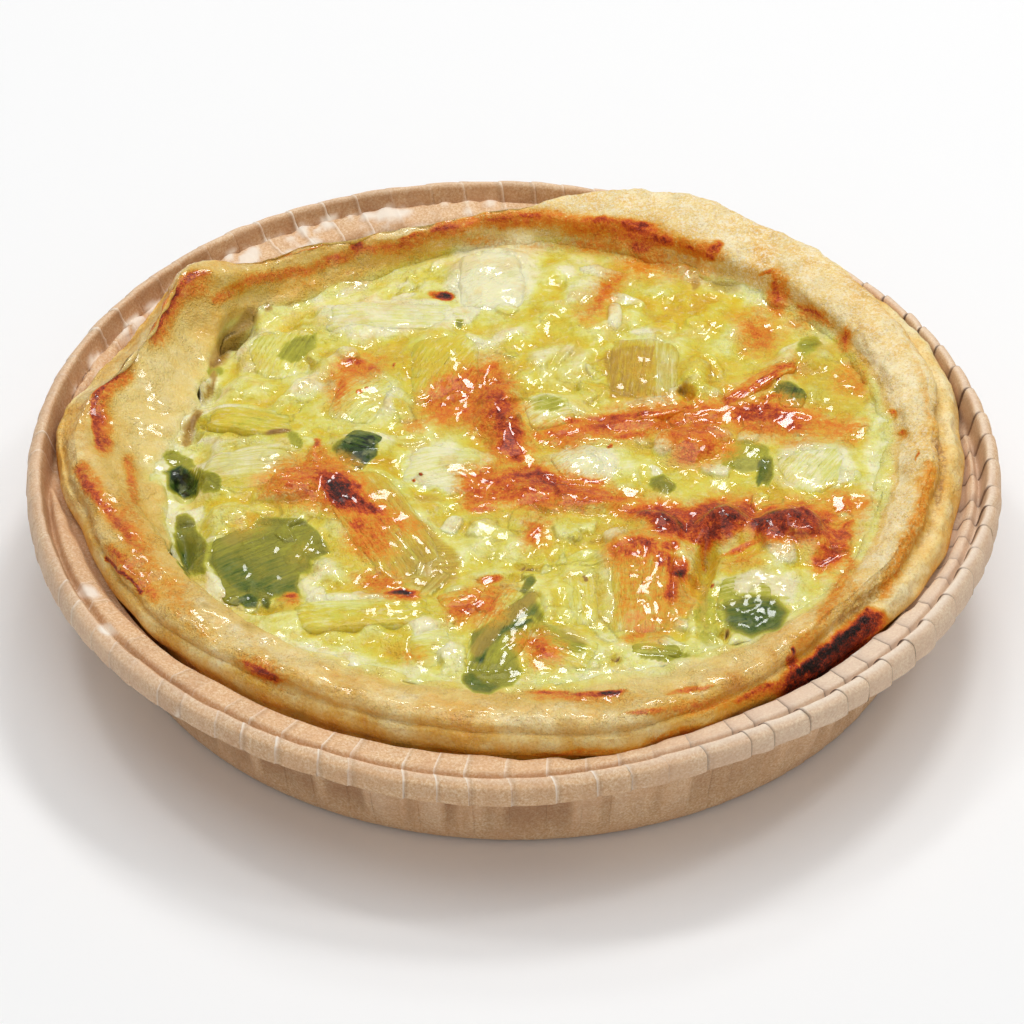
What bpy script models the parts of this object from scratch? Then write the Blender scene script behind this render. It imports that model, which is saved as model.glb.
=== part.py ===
"""Individual leek quiche, baked and standing in its own pleated kraft paper tray.

All sizes are in millimetres and are turned into metres where a mesh is made. +Z is up. Angles run
counter-clockwise seen from above, from +X at the right, so 270 degrees is the front.
"""

import bpy
import bmesh
import numpy as np
from mathutils import Vector, geometry

METRES = 0.001
GAP = 0.3                      # clearance left between two pieces that touch

# Paper tray
PAPER = 0.6                    # thickness of the pressed paper
BASE_RADIUS = 53.9             # flat underside
WALL_TOP_RADIUS = 57.2         # inside of the wall, just under the ledge
WALL_TOP = 15.2
LEDGE_RADIUS = 61.6            # outer end of the flat ledge, where the rim turns up
LEDGE_HEIGHT = 16.2
RIM_RADIUS = 64.9              # outer face of the folded lip
RIM_HEIGHT = 20.9
LIP_BOTTOM = 16.5
RIM_OFFSET = (-0.6, 0.1)       # the rim sits a little to the left of the base
PLEAT_STEP = 4.3               # usual width of a pleat, degrees
PLEAT_DEPTH = 0.34             # how far one pleat tucks under the next
CREASES = (2.7, 16.8, 25.8, 29.0, 33.7, 82.7, 90.8, 95.9, 114.5, 119.0, 123.7, 127.9, 153.5, 159.8, 179.2,
           242.2, 247.4, 251.0, 257.3, 261.0, 264.5, 269.2, 274.1, 278.7, 282.6, 286.8, 296.8, 299.7,
           310.2, 313.6, 317.6, 322.1, 326.3, 336.8, 349.0, 352.7)
RIM_DENT = ((20, -0.1), (60, -1.0), (85, -0.4), (100, 0.0), (130, 0.5), (155, 0.1), (180, -0.3), (215, 0.0),
            (270, 0.0), (310, -0.2), (332, 0.0), (350, 0.5))
RIM_SAG = ((20, 0.0), (60, -0.7), (95, 0.0), (180, 0.0), (240, 0.0), (268, -0.9), (294, 0.5), (320, 0.0))

# Pastry crust: how far it reaches over the ledge, its ridge, and its toasted inner edge
CRUST_STATIONS = 90
CRUST_FOOT = ((5, 59.7), (15, 60.9), (30, 61.2), (45, 61.1), (60, 61.0), (67, 61.4), (75, 60.2), (82, 58.6), (88, 55.8),
              (97, 54.6), (107, 54.0), (125, 55.3), (132, 56.6), (141, 60.0), (150, 59.4), (157, 58.6),
              (165, 59.6), (172, 61.0), (180, 60.7), (190, 58.7), (200, 57.7), (215, 57.3), (230, 56.5),
              (245, 55.8), (260, 56.2), (275, 57.2), (282, 58.0), (292, 56.8), (305, 56.3), (320, 56.4),
              (335, 58.0), (350, 58.8))
CRUST_INSET = ((0, 1.0), (45, 0.8), (78, 0.8), (90, 1.5), (110, 1.8), (128, 1.6), (141, 1.5), (150, 3.0),
               (158, 3.6), (166, 3.0), (176, 1.6), (195, 0.7), (240, 0.6), (300, 0.7), (330, 1.0))
CRUST_EDGE = ((0, 53.0), (30, 53.4), (50, 52.2), (66, 51.6), (78, 52.0), (88, 52.2), (98, 51.0), (109, 50.4),
              (125, 52.2), (136, 53.6), (145, 56.4), (155, 54.4), (167, 55.4), (175, 56.6), (186, 54.0),
              (198, 51.0), (212, 50.2), (239, 50.2), (262, 50.8), (285, 52.0), (300, 51.2), (320, 51.4),
              (340, 52.4))
CRUST_TOP = ((0, 23.3), (30, 23.7), (58, 24.1), (66, 24.5), (80, 23.6), (100, 22.8), (120, 22.7), (132, 23.3), (141, 25.3),
             (150, 23.8), (165, 22.8), (185, 22.4), (215, 22.1), (245, 22.2), (270, 22.3), (300, 22.3),
             (330, 22.8))
LAYER_STEP = ((25, 1.6), (45, 0.4), (70, 0.0), (300, 0.0), (322, 1.4), (350, 2.2))
FOOT_LIFT = ((0, 0.0), (15, 0.6), (32, 1.8), (60, 1.6), (85, 0.3), (100, 0.0), (200, 0.0), (330, 0.0))
CASE_FLOOR = 4.6               # inside of the pastry base

# Custard filling
FILL_EDGE = ((0, 48.4), (15, 50.0), (35, 50.2), (60, 48.8), (75, 50.2), (100, 49.8), (118, 47.9), (136, 49.5),
             (147, 48.2), (160, 45.4), (175, 46.0), (190, 46.8), (207, 47.8), (222, 49.4), (240, 46.8),
             (262, 47.2), (291, 46.6), (310, 48.0), (335, 49.0), (348, 47.6))
FILL_LEVEL = ((0, 20.0), (40, 19.5), (75, 19.0), (100, 18.2), (125, 17.0), (150, 16.7), (175, 16.9), (195, 17.3),
              (215, 18.2), (235, 19.6), (260, 20.3), (300, 20.4), (330, 20.2))
FILL_MIDDLE = 19.9
GRID_STEP = 3.2                # spacing of the points on the custard's top

# Mounds and hollows of the custard: x, y, half length, half width, turn in degrees, height
MOUNDS = ((18.6, -14.6, 4.6, 2.8, -40, 2.0), (27.3, -15.6, 5.2, 4.4, 20, 2.6), (36.6, -17.6, 7.0, 5.8, -12, 3.0),
          (24.2, 2.6, 6.4, 5.0, 20, 2.2), (-1.6, 8.6, 4.2, 8.6, 12, 1.9), (-28.6, -6.2, 5.4, 4.2, 20, 1.8),
          (6.5, -9.0, 7.6, 3.4, -14, 1.5), (32.0, -24.6, 6.4, 4.6, 10, 1.2), (42.2, -25.2, 4.6, 3.0, 60, 1.3),
          (12.0, 31.0, 7.6, 6.4, 40, 1.0), (27.6, 28.4, 6.6, 7.2, 0, 1.0), (25.0, 15.0, 3.6, 6.6, 0, 0.8),
          (-37.6, 17.2, 4.6, 5.6, 60, 1.6), (-24.0, 21.0, 4.6, 4.0, 0, 1.2), (-37.4, -11.8, 5.2, 3.4, 20, 0.9),
          (1.4, -17.6, 8.0, 5.4, 10, 0.9), (32.4, 4.0, 5.0, 3.6, 10, 0.8), (38.6, 23.8, 3.6, 5.6, 30, 0.8))
HOLLOWS = ((-38.4, 31.2, 5.4, 2.4, 66, 3.0), (-41.8, 18.3, 2.8, 1.7, 80, 2.4), (-43.4, 9.2, 3.4, 1.9, 95, 2.4),
           (-43.4, -3.0, 2.6, 3.8, 0, 2.6), (-43.6, -17.8, 1.8, 4.8, -10, 1.6), (24.6, -23.4, 1.8, 8.6, -8, 2.4),
           (23.6, 13.6, 1.4, 2.2, 0, 2.4), (-33.0, -30.4, 4.0, 1.6, -24, 1.4), (26.4, -36.2, 2.0, 2.2, 0, 1.6),
           (2.0, -24.6, 3.4, 1.4, 20, 1.4))

# Leek, onion and other pieces: name, x, y, half length, half width, turn, rise over the custard, thickness,
# slope along and across (mm of height for each mm), squareness of the outline, crown of the top
PIECES = (("leek_leaf_wide", -31.9, -21.2, 8.2, 7.9, 10, 0.7, 2.6, 0.02, 0.03, 3.2, 0.5),
          ("leek_strip_fibrous", -17.6, -14.6, 12.4, 5.4, -63, 1.3, 3.4, -0.05, 0.04, 3.4, 1.2),
          ("leek_square_ribbed", -9.5, -3.0, 5.7, 4.6, -11, 1.1, 3.0, 0.03, 0.06, 3.2, 1.0),
          ("leek_scrap_dark", -20.4, 2.1, 2.7, 2.3, -30, 1.5, 2.8, 0.10, -0.10, 3.0, 0.4),
          ("leek_slab_left", -35.0, -2.2, 6.2, 4.2, 4, 1.0, 2.8, 0.05, 0.05, 3.0, 0.9),
          ("leek_slab_lime", -35.4, 8.9, 6.4, 3.1, -12, 1.4, 2.8, 0.05, -0.06, 3.2, 0.6),
          ("leek_slab_back", -17.6, 32.0, 9.2, 3.7, -2, 1.2, 2.8, 0.03, -0.08, 3.4, 0.7),
          ("onion_layer_back", -3.4, 40.2, 4.9, 6.9, 0, 1.4, 3.2, 0.02, 0.07, 3.4, 0.9),
          ("leek_wedge_peaked", -9.6, 19.2, 5.3, 7.4, 4, 1.4, 3.4, 0.05, 0.10, 2.4, 1.8),
          ("leek_square_striped", 17.4, 18.9, 5.3, 6.8, -4, 1.2, 3.2, 0.02, 0.03, 4.0, 1.0),
          ("onion_bit_middle", 4.6, 9.0, 3.4, 3.2, 10, 1.4, 2.8, 0.05, 0.05, 2.6, 0.8),
          ("strip_orange", 33.4, 15.8, 6.6, 1.5, 43, 1.2, 2.4, 0.04, 0.00, 3.6, 0.4),
          ("leek_knot_dark", 37.5, 12.6, 2.6, 2.0, 80, 0.9, 2.4, 0.00, 0.00, 2.4, 0.5),
          ("leek_shred_grey", 19.9, 9.4, 3.8, 1.1, 20, 1.2, 2.2, 0.00, 0.00, 2.8, 0.4),
          ("leek_block_browned", 16.3, -28.6, 4.4, 9.6, -4, 1.5, 3.8, 0.04, 0.09, 3.4, 1.2),
          ("leek_leaf_dark_right", 29.2, -30.6, 3.9, 5.2, -10, 0.7, 2.8, 0.04, 0.06, 2.8, 0.8),
          ("leek_leaf_curled", -1.5, -37.4, 9.0, 3.9, 67, 1.6, 3.6, 0.05, 0.00, 2.6, 1.4),
          ("leek_slab_yellow", -19.6, -33.6, 8.6, 3.1, 2, 1.2, 2.8, 0.03, 0.04, 3.2, 0.6),
          ("leek_bit_orange", -7.2, -30.4, 3.0, 1.9, 14, 1.1, 2.2, 0.00, 0.00, 2.6, 0.6),
          ("leek_chunk_pale_left", -10.6, -40.0, 3.1, 4.1, 8, 1.1, 2.8, 0.00, 0.05, 2.6, 0.9),
          ("leek_chunk_pale_right", 8.5, -30.6, 2.8, 5.4, 5, 1.1, 3.2, 0.00, 0.06, 2.8, 1.0),
          ("leek_chunk_toasted", 6.0, -41.0, 4.8, 3.5, -20, 1.1, 3.2, 0.00, 0.05, 2.6, 1.2),
          ("leek_shred_front", 17.8, -40.9, 3.3, 1.2, -4, 0.8, 2.0, 0.00, 0.00, 2.8, 0.3),
          ("leek_layer_right", 40.3, -3.0, 5.6, 4.9, 20, 0.9, 2.8, -0.03, 0.03, 2.8, 0.8),
          ("leek_bit_pale_middle", 8.6, -1.6, 3.8, 3.4, 20, 1.2, 2.8, 0.00, 0.05, 2.8, 0.8),
          ("leek_wedge_left", -31.6, 24.6, 5.2, 5.4, 20, 1.1, 2.8, 0.03, 0.06, 2.6, 0.9),
          ("leek_wedge_middle", -20.8, 12.0, 4.4, 5.4, -14, 1.2, 3.0, 0.03, 0.05, 2.6, 1.0))
PIECE_SIDES = 12

# Small shreds of leek and lumps of cheese, fused to the custard
SHRED_COUNT = 28
SHRED_SEED = 7


def ring_curve(knots, degrees):
    """Read a smooth closed curve through (degrees, value) knots at the given angles."""
    knots = sorted(knots)
    angle = np.array([knot[0] for knot in knots], float)
    value = np.array([knot[1] for knot in knots], float)
    angle = np.concatenate([angle - 360, angle, angle + 360])
    value = np.tile(value, 3)
    slope = np.gradient(value, angle)
    at = np.mod(degrees, 360)
    low = np.searchsorted(angle, at, side="right") - 1
    width = angle[low + 1] - angle[low]
    t = (at - angle[low]) / width
    rise = (3 - 2 * t) * t * t
    return (value[low] * (1 - rise) + value[low + 1] * rise
            + slope[low] * width * t * (1 - t) ** 2 - slope[low + 1] * width * t * t * (1 - t))


def soft_step(low, high, x):
    """Ease from 0 at low to 1 at high."""
    t = np.clip((x - low) / (high - low), 0, 1)
    return t * t * (3 - 2 * t)


def turned(x, y, degrees):
    """Turn plan coordinates clockwise, into the frame of a piece that lies at this angle."""
    angle = np.radians(degrees)
    return x * np.cos(angle) + y * np.sin(angle), y * np.cos(angle) - x * np.sin(angle)


def crease_angles():
    """Angles of all creases: those that stand out, and evenly spaced ones in the gaps between them."""
    rng = np.random.default_rng(11)
    angles = []
    for start, end in zip(CREASES, CREASES[1:] + (CREASES[0] + 360,)):
        count = max(1, round((end - start) / PLEAT_STEP))
        inner = start + (end - start) * np.arange(count) / count
        inner[1:] += rng.uniform(-0.5, 0.5, count - 1)
        angles.extend(inner)
    return np.array(angles)


def pleat_stations():
    """Two angles a pleat with the share of its depth there: tucked in after a crease, out before the next."""
    creases = crease_angles()
    widths = np.diff(np.append(creases, creases[0] + 360))
    angles = np.stack([creases + 0.08 * widths, creases + 0.92 * widths], 1).ravel()
    depths = np.tile([-0.5, 0.5], len(creases))
    return angles, depths


def tray_section():
    """Closed section of the tray: radius, height, share of the pleats' depth, share of the rim's bends."""
    return ((BASE_RADIUS, 0.0, 0.0, 0.0),
            (WALL_TOP_RADIUS + PAPER, WALL_TOP - 0.3, 1.0, 0.1),
            (RIM_RADIUS - 1.9, LIP_BOTTOM - 0.4, 0.3, 0.9),
            (RIM_RADIUS - 0.1, LIP_BOTTOM, 1.0, 1.0),
            (RIM_RADIUS, RIM_HEIGHT - 1.6, 1.0, 1.0),
            (RIM_RADIUS - 0.7, RIM_HEIGHT - 0.1, 1.0, 1.0),
            (RIM_RADIUS - 1.6, RIM_HEIGHT - 0.6, 0.8, 1.0),
            (LEDGE_RADIUS + 0.3, LEDGE_HEIGHT + 0.9, 0.4, 0.9),
            (WALL_TOP_RADIUS + 0.8, LEDGE_HEIGHT - 0.1, 0.3, 0.2),
            (WALL_TOP_RADIUS, WALL_TOP, 0.6, 0.1),
            (BASE_RADIUS - PAPER, PAPER, 0.0, 0.0))


def tray_points():
    """Rings of points of the tray, from the middle of the underside round to the middle of the inside."""
    angles, depths = pleat_stations()
    rings = []
    for radius, height, pleat, rim in tray_section():
        r = radius + pleat * depths * PLEAT_DEPTH + rim * ring_curve(RIM_DENT, angles)
        z = height + rim * ring_curve(RIM_SAG, angles) * soft_step(8, 15, height)
        x = r * np.cos(np.radians(angles)) + rim * RIM_OFFSET[0]
        y = r * np.sin(np.radians(angles)) + rim * RIM_OFFSET[1]
        rings.append(np.stack([x, y, z], 1))
    return np.array(rings)


def crust_lumps(degrees, height):
    """Gentle unevenness of hand-pressed pastry round the rim, in millimetres."""
    a = np.radians(degrees)
    return 0.16 * np.sin(9 * a + 0.7 * height) + 0.13 * np.sin(23 * a + 2.0) + 0.10 * np.sin(37 * a - height)


def crust_rings(degrees):
    """Section of the pastry case at each angle, as (radius, height) pairs from its underside to its floor."""
    foot = ring_curve(CRUST_FOOT, degrees) + crust_lumps(degrees, 0)
    lift = ring_curve(FOOT_LIFT, degrees)
    ridge = foot - ring_curve(CRUST_INSET, degrees)
    edge = ring_curve(CRUST_EDGE, degrees)
    top = ring_curve(CRUST_TOP, degrees) + crust_lumps(degrees, 2)
    step = np.clip(ring_curve(LAYER_STEP, degrees), 0, None)
    fill = ring_curve(FILL_EDGE, degrees)
    level = ring_curve(FILL_LEVEL, degrees)
    ledge = LEDGE_HEIGHT + 0.95
    wall = np.minimum(WALL_TOP_RADIUS - 0.75, foot - 0.3)
    side = np.maximum(foot - 0.5, wall + 0.1)
    even = np.ones_like(foot)
    crest = ridge - step - 0.30 * (ridge - step - edge)
    return ((BASE_RADIUS - PAPER - 0.7) * even, (PAPER + 0.5) * even), \
           (wall, (WALL_TOP - 0.6) * even), \
           (wall + 0.1, (LEDGE_HEIGHT + 0.5) * even), \
           (side, ledge + lift), \
           (foot, ledge + 0.9 + lift), \
           (foot + 0.1 - 0.4 * step, 0.5 * (ledge + lift + top) + 0.2), \
           (foot - 0.3 - step, 0.4 * (ledge + lift) + 0.6 * top), \
           (ridge + 0.35 - step, top - 1.0), \
           (ridge - 0.35 - step, top - 0.25), \
           (crest, top), \
           (edge, top - 0.7), \
           (0.55 * edge + 0.45 * fill, 0.42 * (top - 0.7) + 0.58 * level), \
           (fill + 0.15, level - 0.2), \
           (fill - 0.6, level - 4.5), \
           (fill - 5.5, CASE_FLOOR * even)


def custard_height(x, y):
    """Height of the custard's top at plan points: level, mounds, hollows and a small unevenness."""
    degrees = np.degrees(np.arctan2(y, x))
    share = np.hypot(x, y) / ring_curve(FILL_EDGE, degrees)
    edge = soft_step(0.62, 1.0, share)
    z = FILL_MIDDLE * (1 - edge) + ring_curve(FILL_LEVEL, degrees) * edge
    calm = 1 - soft_step(0.90, 1.0, share)
    for features, strength in ((MOUNDS, calm), (HOLLOWS, -1)):
        for cx, cy, half_length, half_width, turn, height in features:
            u, v = turned(x - cx, y - cy, turn)
            reach = np.clip(1 - (u / half_length) ** 2 - (v / half_width) ** 2, 0, None)
            z = z + strength * height * reach ** 1.4
    return z + calm * (0.22 * np.sin(0.61 * x + 1.3) * np.sin(0.53 * y) + 0.14 * np.sin(1.1 * x - 0.7 * y))


def piece_outline(piece, grow):
    """Outline of a piece seen from above, in its own frame: an uneven rounded rectangle, grown by grow."""
    half_length, half_width, squareness = piece[3] + grow, piece[4] + grow, piece[10]
    rng = np.random.default_rng(sum(map(ord, piece[0])))
    t = 2 * np.pi * (np.arange(PIECE_SIDES) + 0.5) / PIECE_SIDES
    c, s = np.cos(t), np.sin(t)
    r = (np.abs(c) ** squareness + np.abs(s) ** squareness) ** (-1 / squareness)
    r *= 1 - 0.09 * rng.random(PIECE_SIDES)
    return r * c * half_length, r * s * half_width


def piece_rest(piece):
    """Height of the middle of a piece's top."""
    return float(custard_height(np.array(piece[1]), np.array(piece[2]))) + piece[6]


def piece_points(piece, u, v, z):
    """Place points of a piece's own frame in the quiche, sloped with the piece."""
    angle = np.radians(piece[5])
    x = piece[1] + u * np.cos(angle) - v * np.sin(angle)
    y = piece[2] + u * np.sin(angle) + v * np.cos(angle)
    return np.stack([x, y, z + piece[8] * u + piece[9] * v], 1)


def ring_mesh(rings, first, last):
    """Vertices and faces of a body made of closed rings, ended by a fan to the first and to the last point."""
    count, sides = rings.shape[:2]
    points = [tuple(first)] + [tuple(p) for p in rings.reshape(-1, 3)] + [tuple(last)]
    faces = []
    for j in range(sides):
        k = (j + 1) % sides
        faces.append((0, 1 + k, 1 + j))
        for i in range(count - 1):
            a, b = 1 + i * sides + j, 1 + i * sides + k
            faces.append((a, b, b + sides, a + sides))
        end = 1 + (count - 1) * sides
        faces.append((end + j, end + k, len(points) - 1))
    return points, faces


def add_object(name, points, faces, shift, material=None):
    """Make a triangulated object from points in millimetres, with its faces turned outward."""
    mesh = bpy.data.meshes.new(name)
    moved = (np.array(points) + np.array(shift)) * METRES
    mesh.from_pydata([tuple(p) for p in moved], [], faces)
    shaped = bmesh.new()
    shaped.from_mesh(mesh)
    bmesh.ops.triangulate(shaped, faces=shaped.faces[:])
    bmesh.ops.recalc_face_normals(shaped, faces=shaped.faces[:])
    shaped.to_mesh(mesh)
    shaped.free()
    thing = bpy.data.objects.new(name, mesh)
    bpy.context.scene.collection.objects.link(thing)
    if material:
        mesh.materials.append(material)
    return thing


def principled(name, colour, roughness):
    """A plain material with one colour."""
    material = bpy.data.materials.new(name)
    material.use_nodes = True
    shader = material.node_tree.nodes["Principled BSDF"]
    shader.inputs["Base Color"].default_value = (*colour, 1)
    shader.inputs["Roughness"].default_value = roughness
    return material


def finish_smooth(thing, sharp_degrees):
    """Shade a round piece smooth, keeping its sharper edges."""
    thing.data.shade_smooth()
    thing.data.set_sharp_from_angle(angle=np.radians(sharp_degrees))


def make_tray(shift):
    """Pressed paper tray: flat base, pleated wall, ledge, and a rim folded over into a lip."""
    rings = tray_points()
    points, faces = ring_mesh(rings, (0, 0, 0), (0, 0, PAPER))
    finish_smooth(add_object("paper_tray", points, faces, shift, principled("kraft_paper", (0.62, 0.39, 0.22), 0.8)), 40)


def make_crust(shift):
    """Pastry case: one body with its underside in the tray, its uneven rim and its inner wall."""
    degrees = np.arange(CRUST_STATIONS) * 360 / CRUST_STATIONS
    a = np.radians(degrees)
    rings = np.array([np.stack([r * np.cos(a), r * np.sin(a), z], 1) for r, z in crust_rings(degrees)])
    points, faces = ring_mesh(rings, (0, 0, PAPER + 0.5), (0, 0, CASE_FLOOR))
    finish_smooth(add_object("pastry_crust", points, faces, shift, principled("pastry", (0.72, 0.50, 0.24), 0.6)), 50)


def custard_top():
    """Points and triangles of the custard's top: its edge, then an even grid inside it."""
    degrees = np.arange(CRUST_STATIONS) * 360 / CRUST_STATIONS
    radius = ring_curve(FILL_EDGE, degrees) - 2 * GAP
    plan = [Vector((r * np.cos(a), r * np.sin(a))) for r, a in zip(radius, np.radians(degrees))]
    row_step = GRID_STEP * np.sqrt(3) / 2
    rows = int(60 / row_step)
    for row in range(-rows, rows + 1):
        for column in range(-rows, rows + 1):
            x = (column + 0.5 * (row % 2)) * GRID_STEP
            y = row * row_step
            limit = ring_curve(FILL_EDGE, np.degrees(np.arctan2(y, x))) - 2 * GAP - 0.6 * GRID_STEP
            if np.hypot(x, y) < limit:
                plan.append(Vector((x, y)))
    edges = [(i, (i + 1) % CRUST_STATIONS) for i in range(CRUST_STATIONS)]
    plan, _, faces, *_ = geometry.delaunay_2d_cdt(plan, edges, [], 1, 1e-5)
    x, y = np.array([tuple(p) for p in plan]).T
    return np.stack([x, y, custard_height(x, y)], 1), [tuple(f) for f in faces]


def make_custard(shift):
    """Custard in the pastry case, with shreds fused on and a seat cut for every larger piece."""
    top, faces = custard_top()
    degrees = np.arange(CRUST_STATIONS) * 360 / CRUST_STATIONS
    a = np.radians(degrees)
    points = [tuple(p) for p in top]
    upper = list(range(CRUST_STATIONS))
    for r, z in crust_rings(degrees)[-2:]:
        lower = list(range(len(points), len(points) + CRUST_STATIONS))
        points += [tuple(p) for p in np.stack([(r - 2 * GAP) * np.cos(a), (r - 2 * GAP) * np.sin(a), z + 1.5 * GAP], 1)]
        for j in range(CRUST_STATIONS):
            k = (j + 1) % CRUST_STATIONS
            faces.append((upper[j], lower[j], lower[k], upper[k]))
        upper = lower
    points.append((0, 0, CASE_FLOOR + 1.5 * GAP))
    for j in range(CRUST_STATIONS):
        faces.append((upper[j], len(points) - 1, upper[(j + 1) % CRUST_STATIONS]))
    custard = add_object("custard_filling", points, faces, shift, principled("custard", (0.70, 0.60, 0.17), 0.3))
    join_all(custard, make_shreds(shift), "UNION")
    join_all(custard, make_seats(shift), "DIFFERENCE")
    finish_smooth(custard, 45)


def join_all(thing, others, operation):
    """Apply one Boolean with a collection of closed bodies, then remove those bodies."""
    group = bpy.data.collections.new(operation)
    for other in others:
        group.objects.link(other)
    change = thing.modifiers.new(operation, "BOOLEAN")
    change.operation = operation
    change.operand_type = "COLLECTION"
    change.collection = group
    change.solver = "EXACT"
    bpy.context.view_layer.update()
    shaped = bpy.data.meshes.new_from_object(thing.evaluated_get(bpy.context.evaluated_depsgraph_get()))
    thing.modifiers.clear()
    thing.data = shaped
    for other in others:
        bpy.data.objects.remove(other)
    bpy.data.collections.remove(group)


def make_shreds(shift):
    """Low pointed bodies, half sunk in the custard, spread evenly clear of the larger pieces."""
    rng = np.random.default_rng(SHRED_SEED)
    placed = []
    shreds = []
    while len(placed) < SHRED_COUNT:
        x, y = rng.uniform(-46, 46, 2)
        length, width, turn = rng.uniform(1.5, 2.9), rng.uniform(0.7, 1.1), rng.uniform(0, 180)
        limit = ring_curve(FILL_EDGE, np.degrees(np.arctan2(y, x))) - length - 1.2
        clear = all(np.hypot(x - px, y - py) > 5.5 for px, py in placed)
        if np.hypot(x, y) > limit or not clear or nearest_piece(x, y) < length + 0.7:
            continue
        placed.append((x, y))
        c, s = np.cos(np.radians(turn)), np.sin(np.radians(turn))
        z = float(custard_height(np.array(x), np.array(y)))
        u = np.array([1.0, 0.55, -0.5, -1.0, -0.55, 0.5]) * length
        v = np.array([0.1, 1.0, 0.9, -0.2, -1.0, -0.9]) * width
        ring = np.stack([x + u * c - v * s, y + u * s + v * c, np.full(6, z + 0.05)], 1)
        points, faces = ring_mesh(ring[None], (x, y, z - 1.1), (x, y, z + 0.75))
        shreds.append(add_object("shred", points, faces, shift))
    return shreds


def nearest_piece(x, y):
    """Distance from a plan point to the nearest larger piece, less than nothing inside one."""
    distances = []
    for piece in PIECES:
        u, v = turned(x - piece[1], y - piece[2], piece[5])
        du, dv = abs(u) - piece[3], abs(v) - piece[4]
        distances.append(np.hypot(max(du, 0), max(dv, 0)) + min(max(du, dv), 0))
    return min(distances)


def make_seats(shift):
    """Cutters that leave the clearance round and under each larger piece."""
    seats = []
    for piece in PIECES:
        u, v = piece_outline(piece, GAP + 0.1)
        low = piece_points(piece, u, v, piece_rest(piece) - piece[7] - GAP)
        high = piece_points(piece, u, v, piece_rest(piece) + 6)
        middle = piece_points(piece, np.zeros(1), np.zeros(1), piece_rest(piece) - piece[7] - GAP)[0]
        points, faces = ring_mesh(np.array([low, high]), middle, high.mean(0))
        seats.append(add_object("seat", points, faces, shift))
    return seats


def make_pieces(shift):
    """Larger pieces of leek and onion, each a sloped slab with a crowned top, set into its seat."""
    colours = {"leek": (0.56, 0.50, 0.13), "onion": (0.76, 0.74, 0.42), "strip": (0.62, 0.22, 0.04)}
    finishes = {kind: principled(kind, colour, 0.3) for kind, colour in colours.items()}
    for piece in PIECES:
        u, v = piece_outline(piece, 0)
        rest, thickness, crown = piece_rest(piece), piece[7], piece[11]
        rings = [piece_points(piece, u, v, rest - thickness),
                 piece_points(piece, u, v, rest - 0.75 * crown),
                 piece_points(piece, 0.62 * u, 0.62 * v, rest - 0.2 * crown)]
        ends = [piece_points(piece, np.zeros(1), np.zeros(1), z)[0] for z in (rest - thickness, rest)]
        points, faces = ring_mesh(np.array(rings), *ends)
        thing = add_object(piece[0], points, faces, shift, finishes[piece[0].split("_")[0]])
        finish_smooth(thing, 40)


def main():
    for old in list(bpy.data.objects):
        bpy.data.objects.remove(old)
    outer = tray_points().reshape(-1, 3)
    middle = (outer.min(0) + outer.max(0)) / 2
    shift = (-middle[0], -middle[1], 0.0)
    make_tray(shift)
    make_crust(shift)
    make_custard(shift)
    make_pieces(shift)


main()
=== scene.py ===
"""Looks of an individual leek quiche, baked and standing in its pleated kraft paper tray.

Lengths are in millimetres until a mesh is made, +Z up, the photo's viewer at -Y. Angles run counter-clockwise
seen from above, from +X at the right, so 270 degrees is the front.
"""

from collections import namedtuple

import bpy
import numpy as np
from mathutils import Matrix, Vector


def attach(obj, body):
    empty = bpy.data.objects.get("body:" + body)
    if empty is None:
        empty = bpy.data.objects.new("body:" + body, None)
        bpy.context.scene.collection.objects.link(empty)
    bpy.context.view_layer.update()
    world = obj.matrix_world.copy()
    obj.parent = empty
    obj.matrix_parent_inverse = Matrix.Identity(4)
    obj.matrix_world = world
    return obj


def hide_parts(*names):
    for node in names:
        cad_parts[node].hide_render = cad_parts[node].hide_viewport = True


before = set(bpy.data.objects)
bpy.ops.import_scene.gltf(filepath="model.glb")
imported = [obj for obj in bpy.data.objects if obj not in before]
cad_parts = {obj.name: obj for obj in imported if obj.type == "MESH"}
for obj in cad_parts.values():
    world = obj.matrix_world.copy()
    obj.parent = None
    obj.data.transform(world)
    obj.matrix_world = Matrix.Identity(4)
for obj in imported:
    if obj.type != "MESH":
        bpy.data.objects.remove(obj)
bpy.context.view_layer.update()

METRES = 0.001

# The photograph's view: where it looks, from how far and how high
VIEW_TARGET = (-0.40, -1.76, 12.0)
VIEW_DISTANCE = 650.0
VIEW_ELEVATION = 38.51
VIEW_LENS = 170.2                       # on a sensor 36 mm wide
SENSOR_WIDTH = 36.0
PHOTO_WIDTH = 1024                      # pixels, and as many high

# Studio lamps: name, place in metres, size in metres, power in watts
LAMPS = (("softbox_top", (-0.04, -0.05, 1.0), 0.85, 3.45), ("window_back", (0.22, 0.45, 0.85), 0.17, 2.15),
         ("window_left", (-0.35, 0.30, 0.90), 0.13, 1.0), ("window_low", (0.05, 0.68, 0.78), 0.12, 0.8),
         ("window_right", (0.50, 0.10, 0.85), 0.13, 0.9), ("front_fill", (0.1, -0.9, 0.6), 1.0, 1.5))
ROOM_LIGHT = 0.31
LAMP_TARGET = (0, 0, 0.015)               # metres
FLOOR_SIZE = 6                          # metres
FLOOR_HEIGHT = -0.0004

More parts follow.
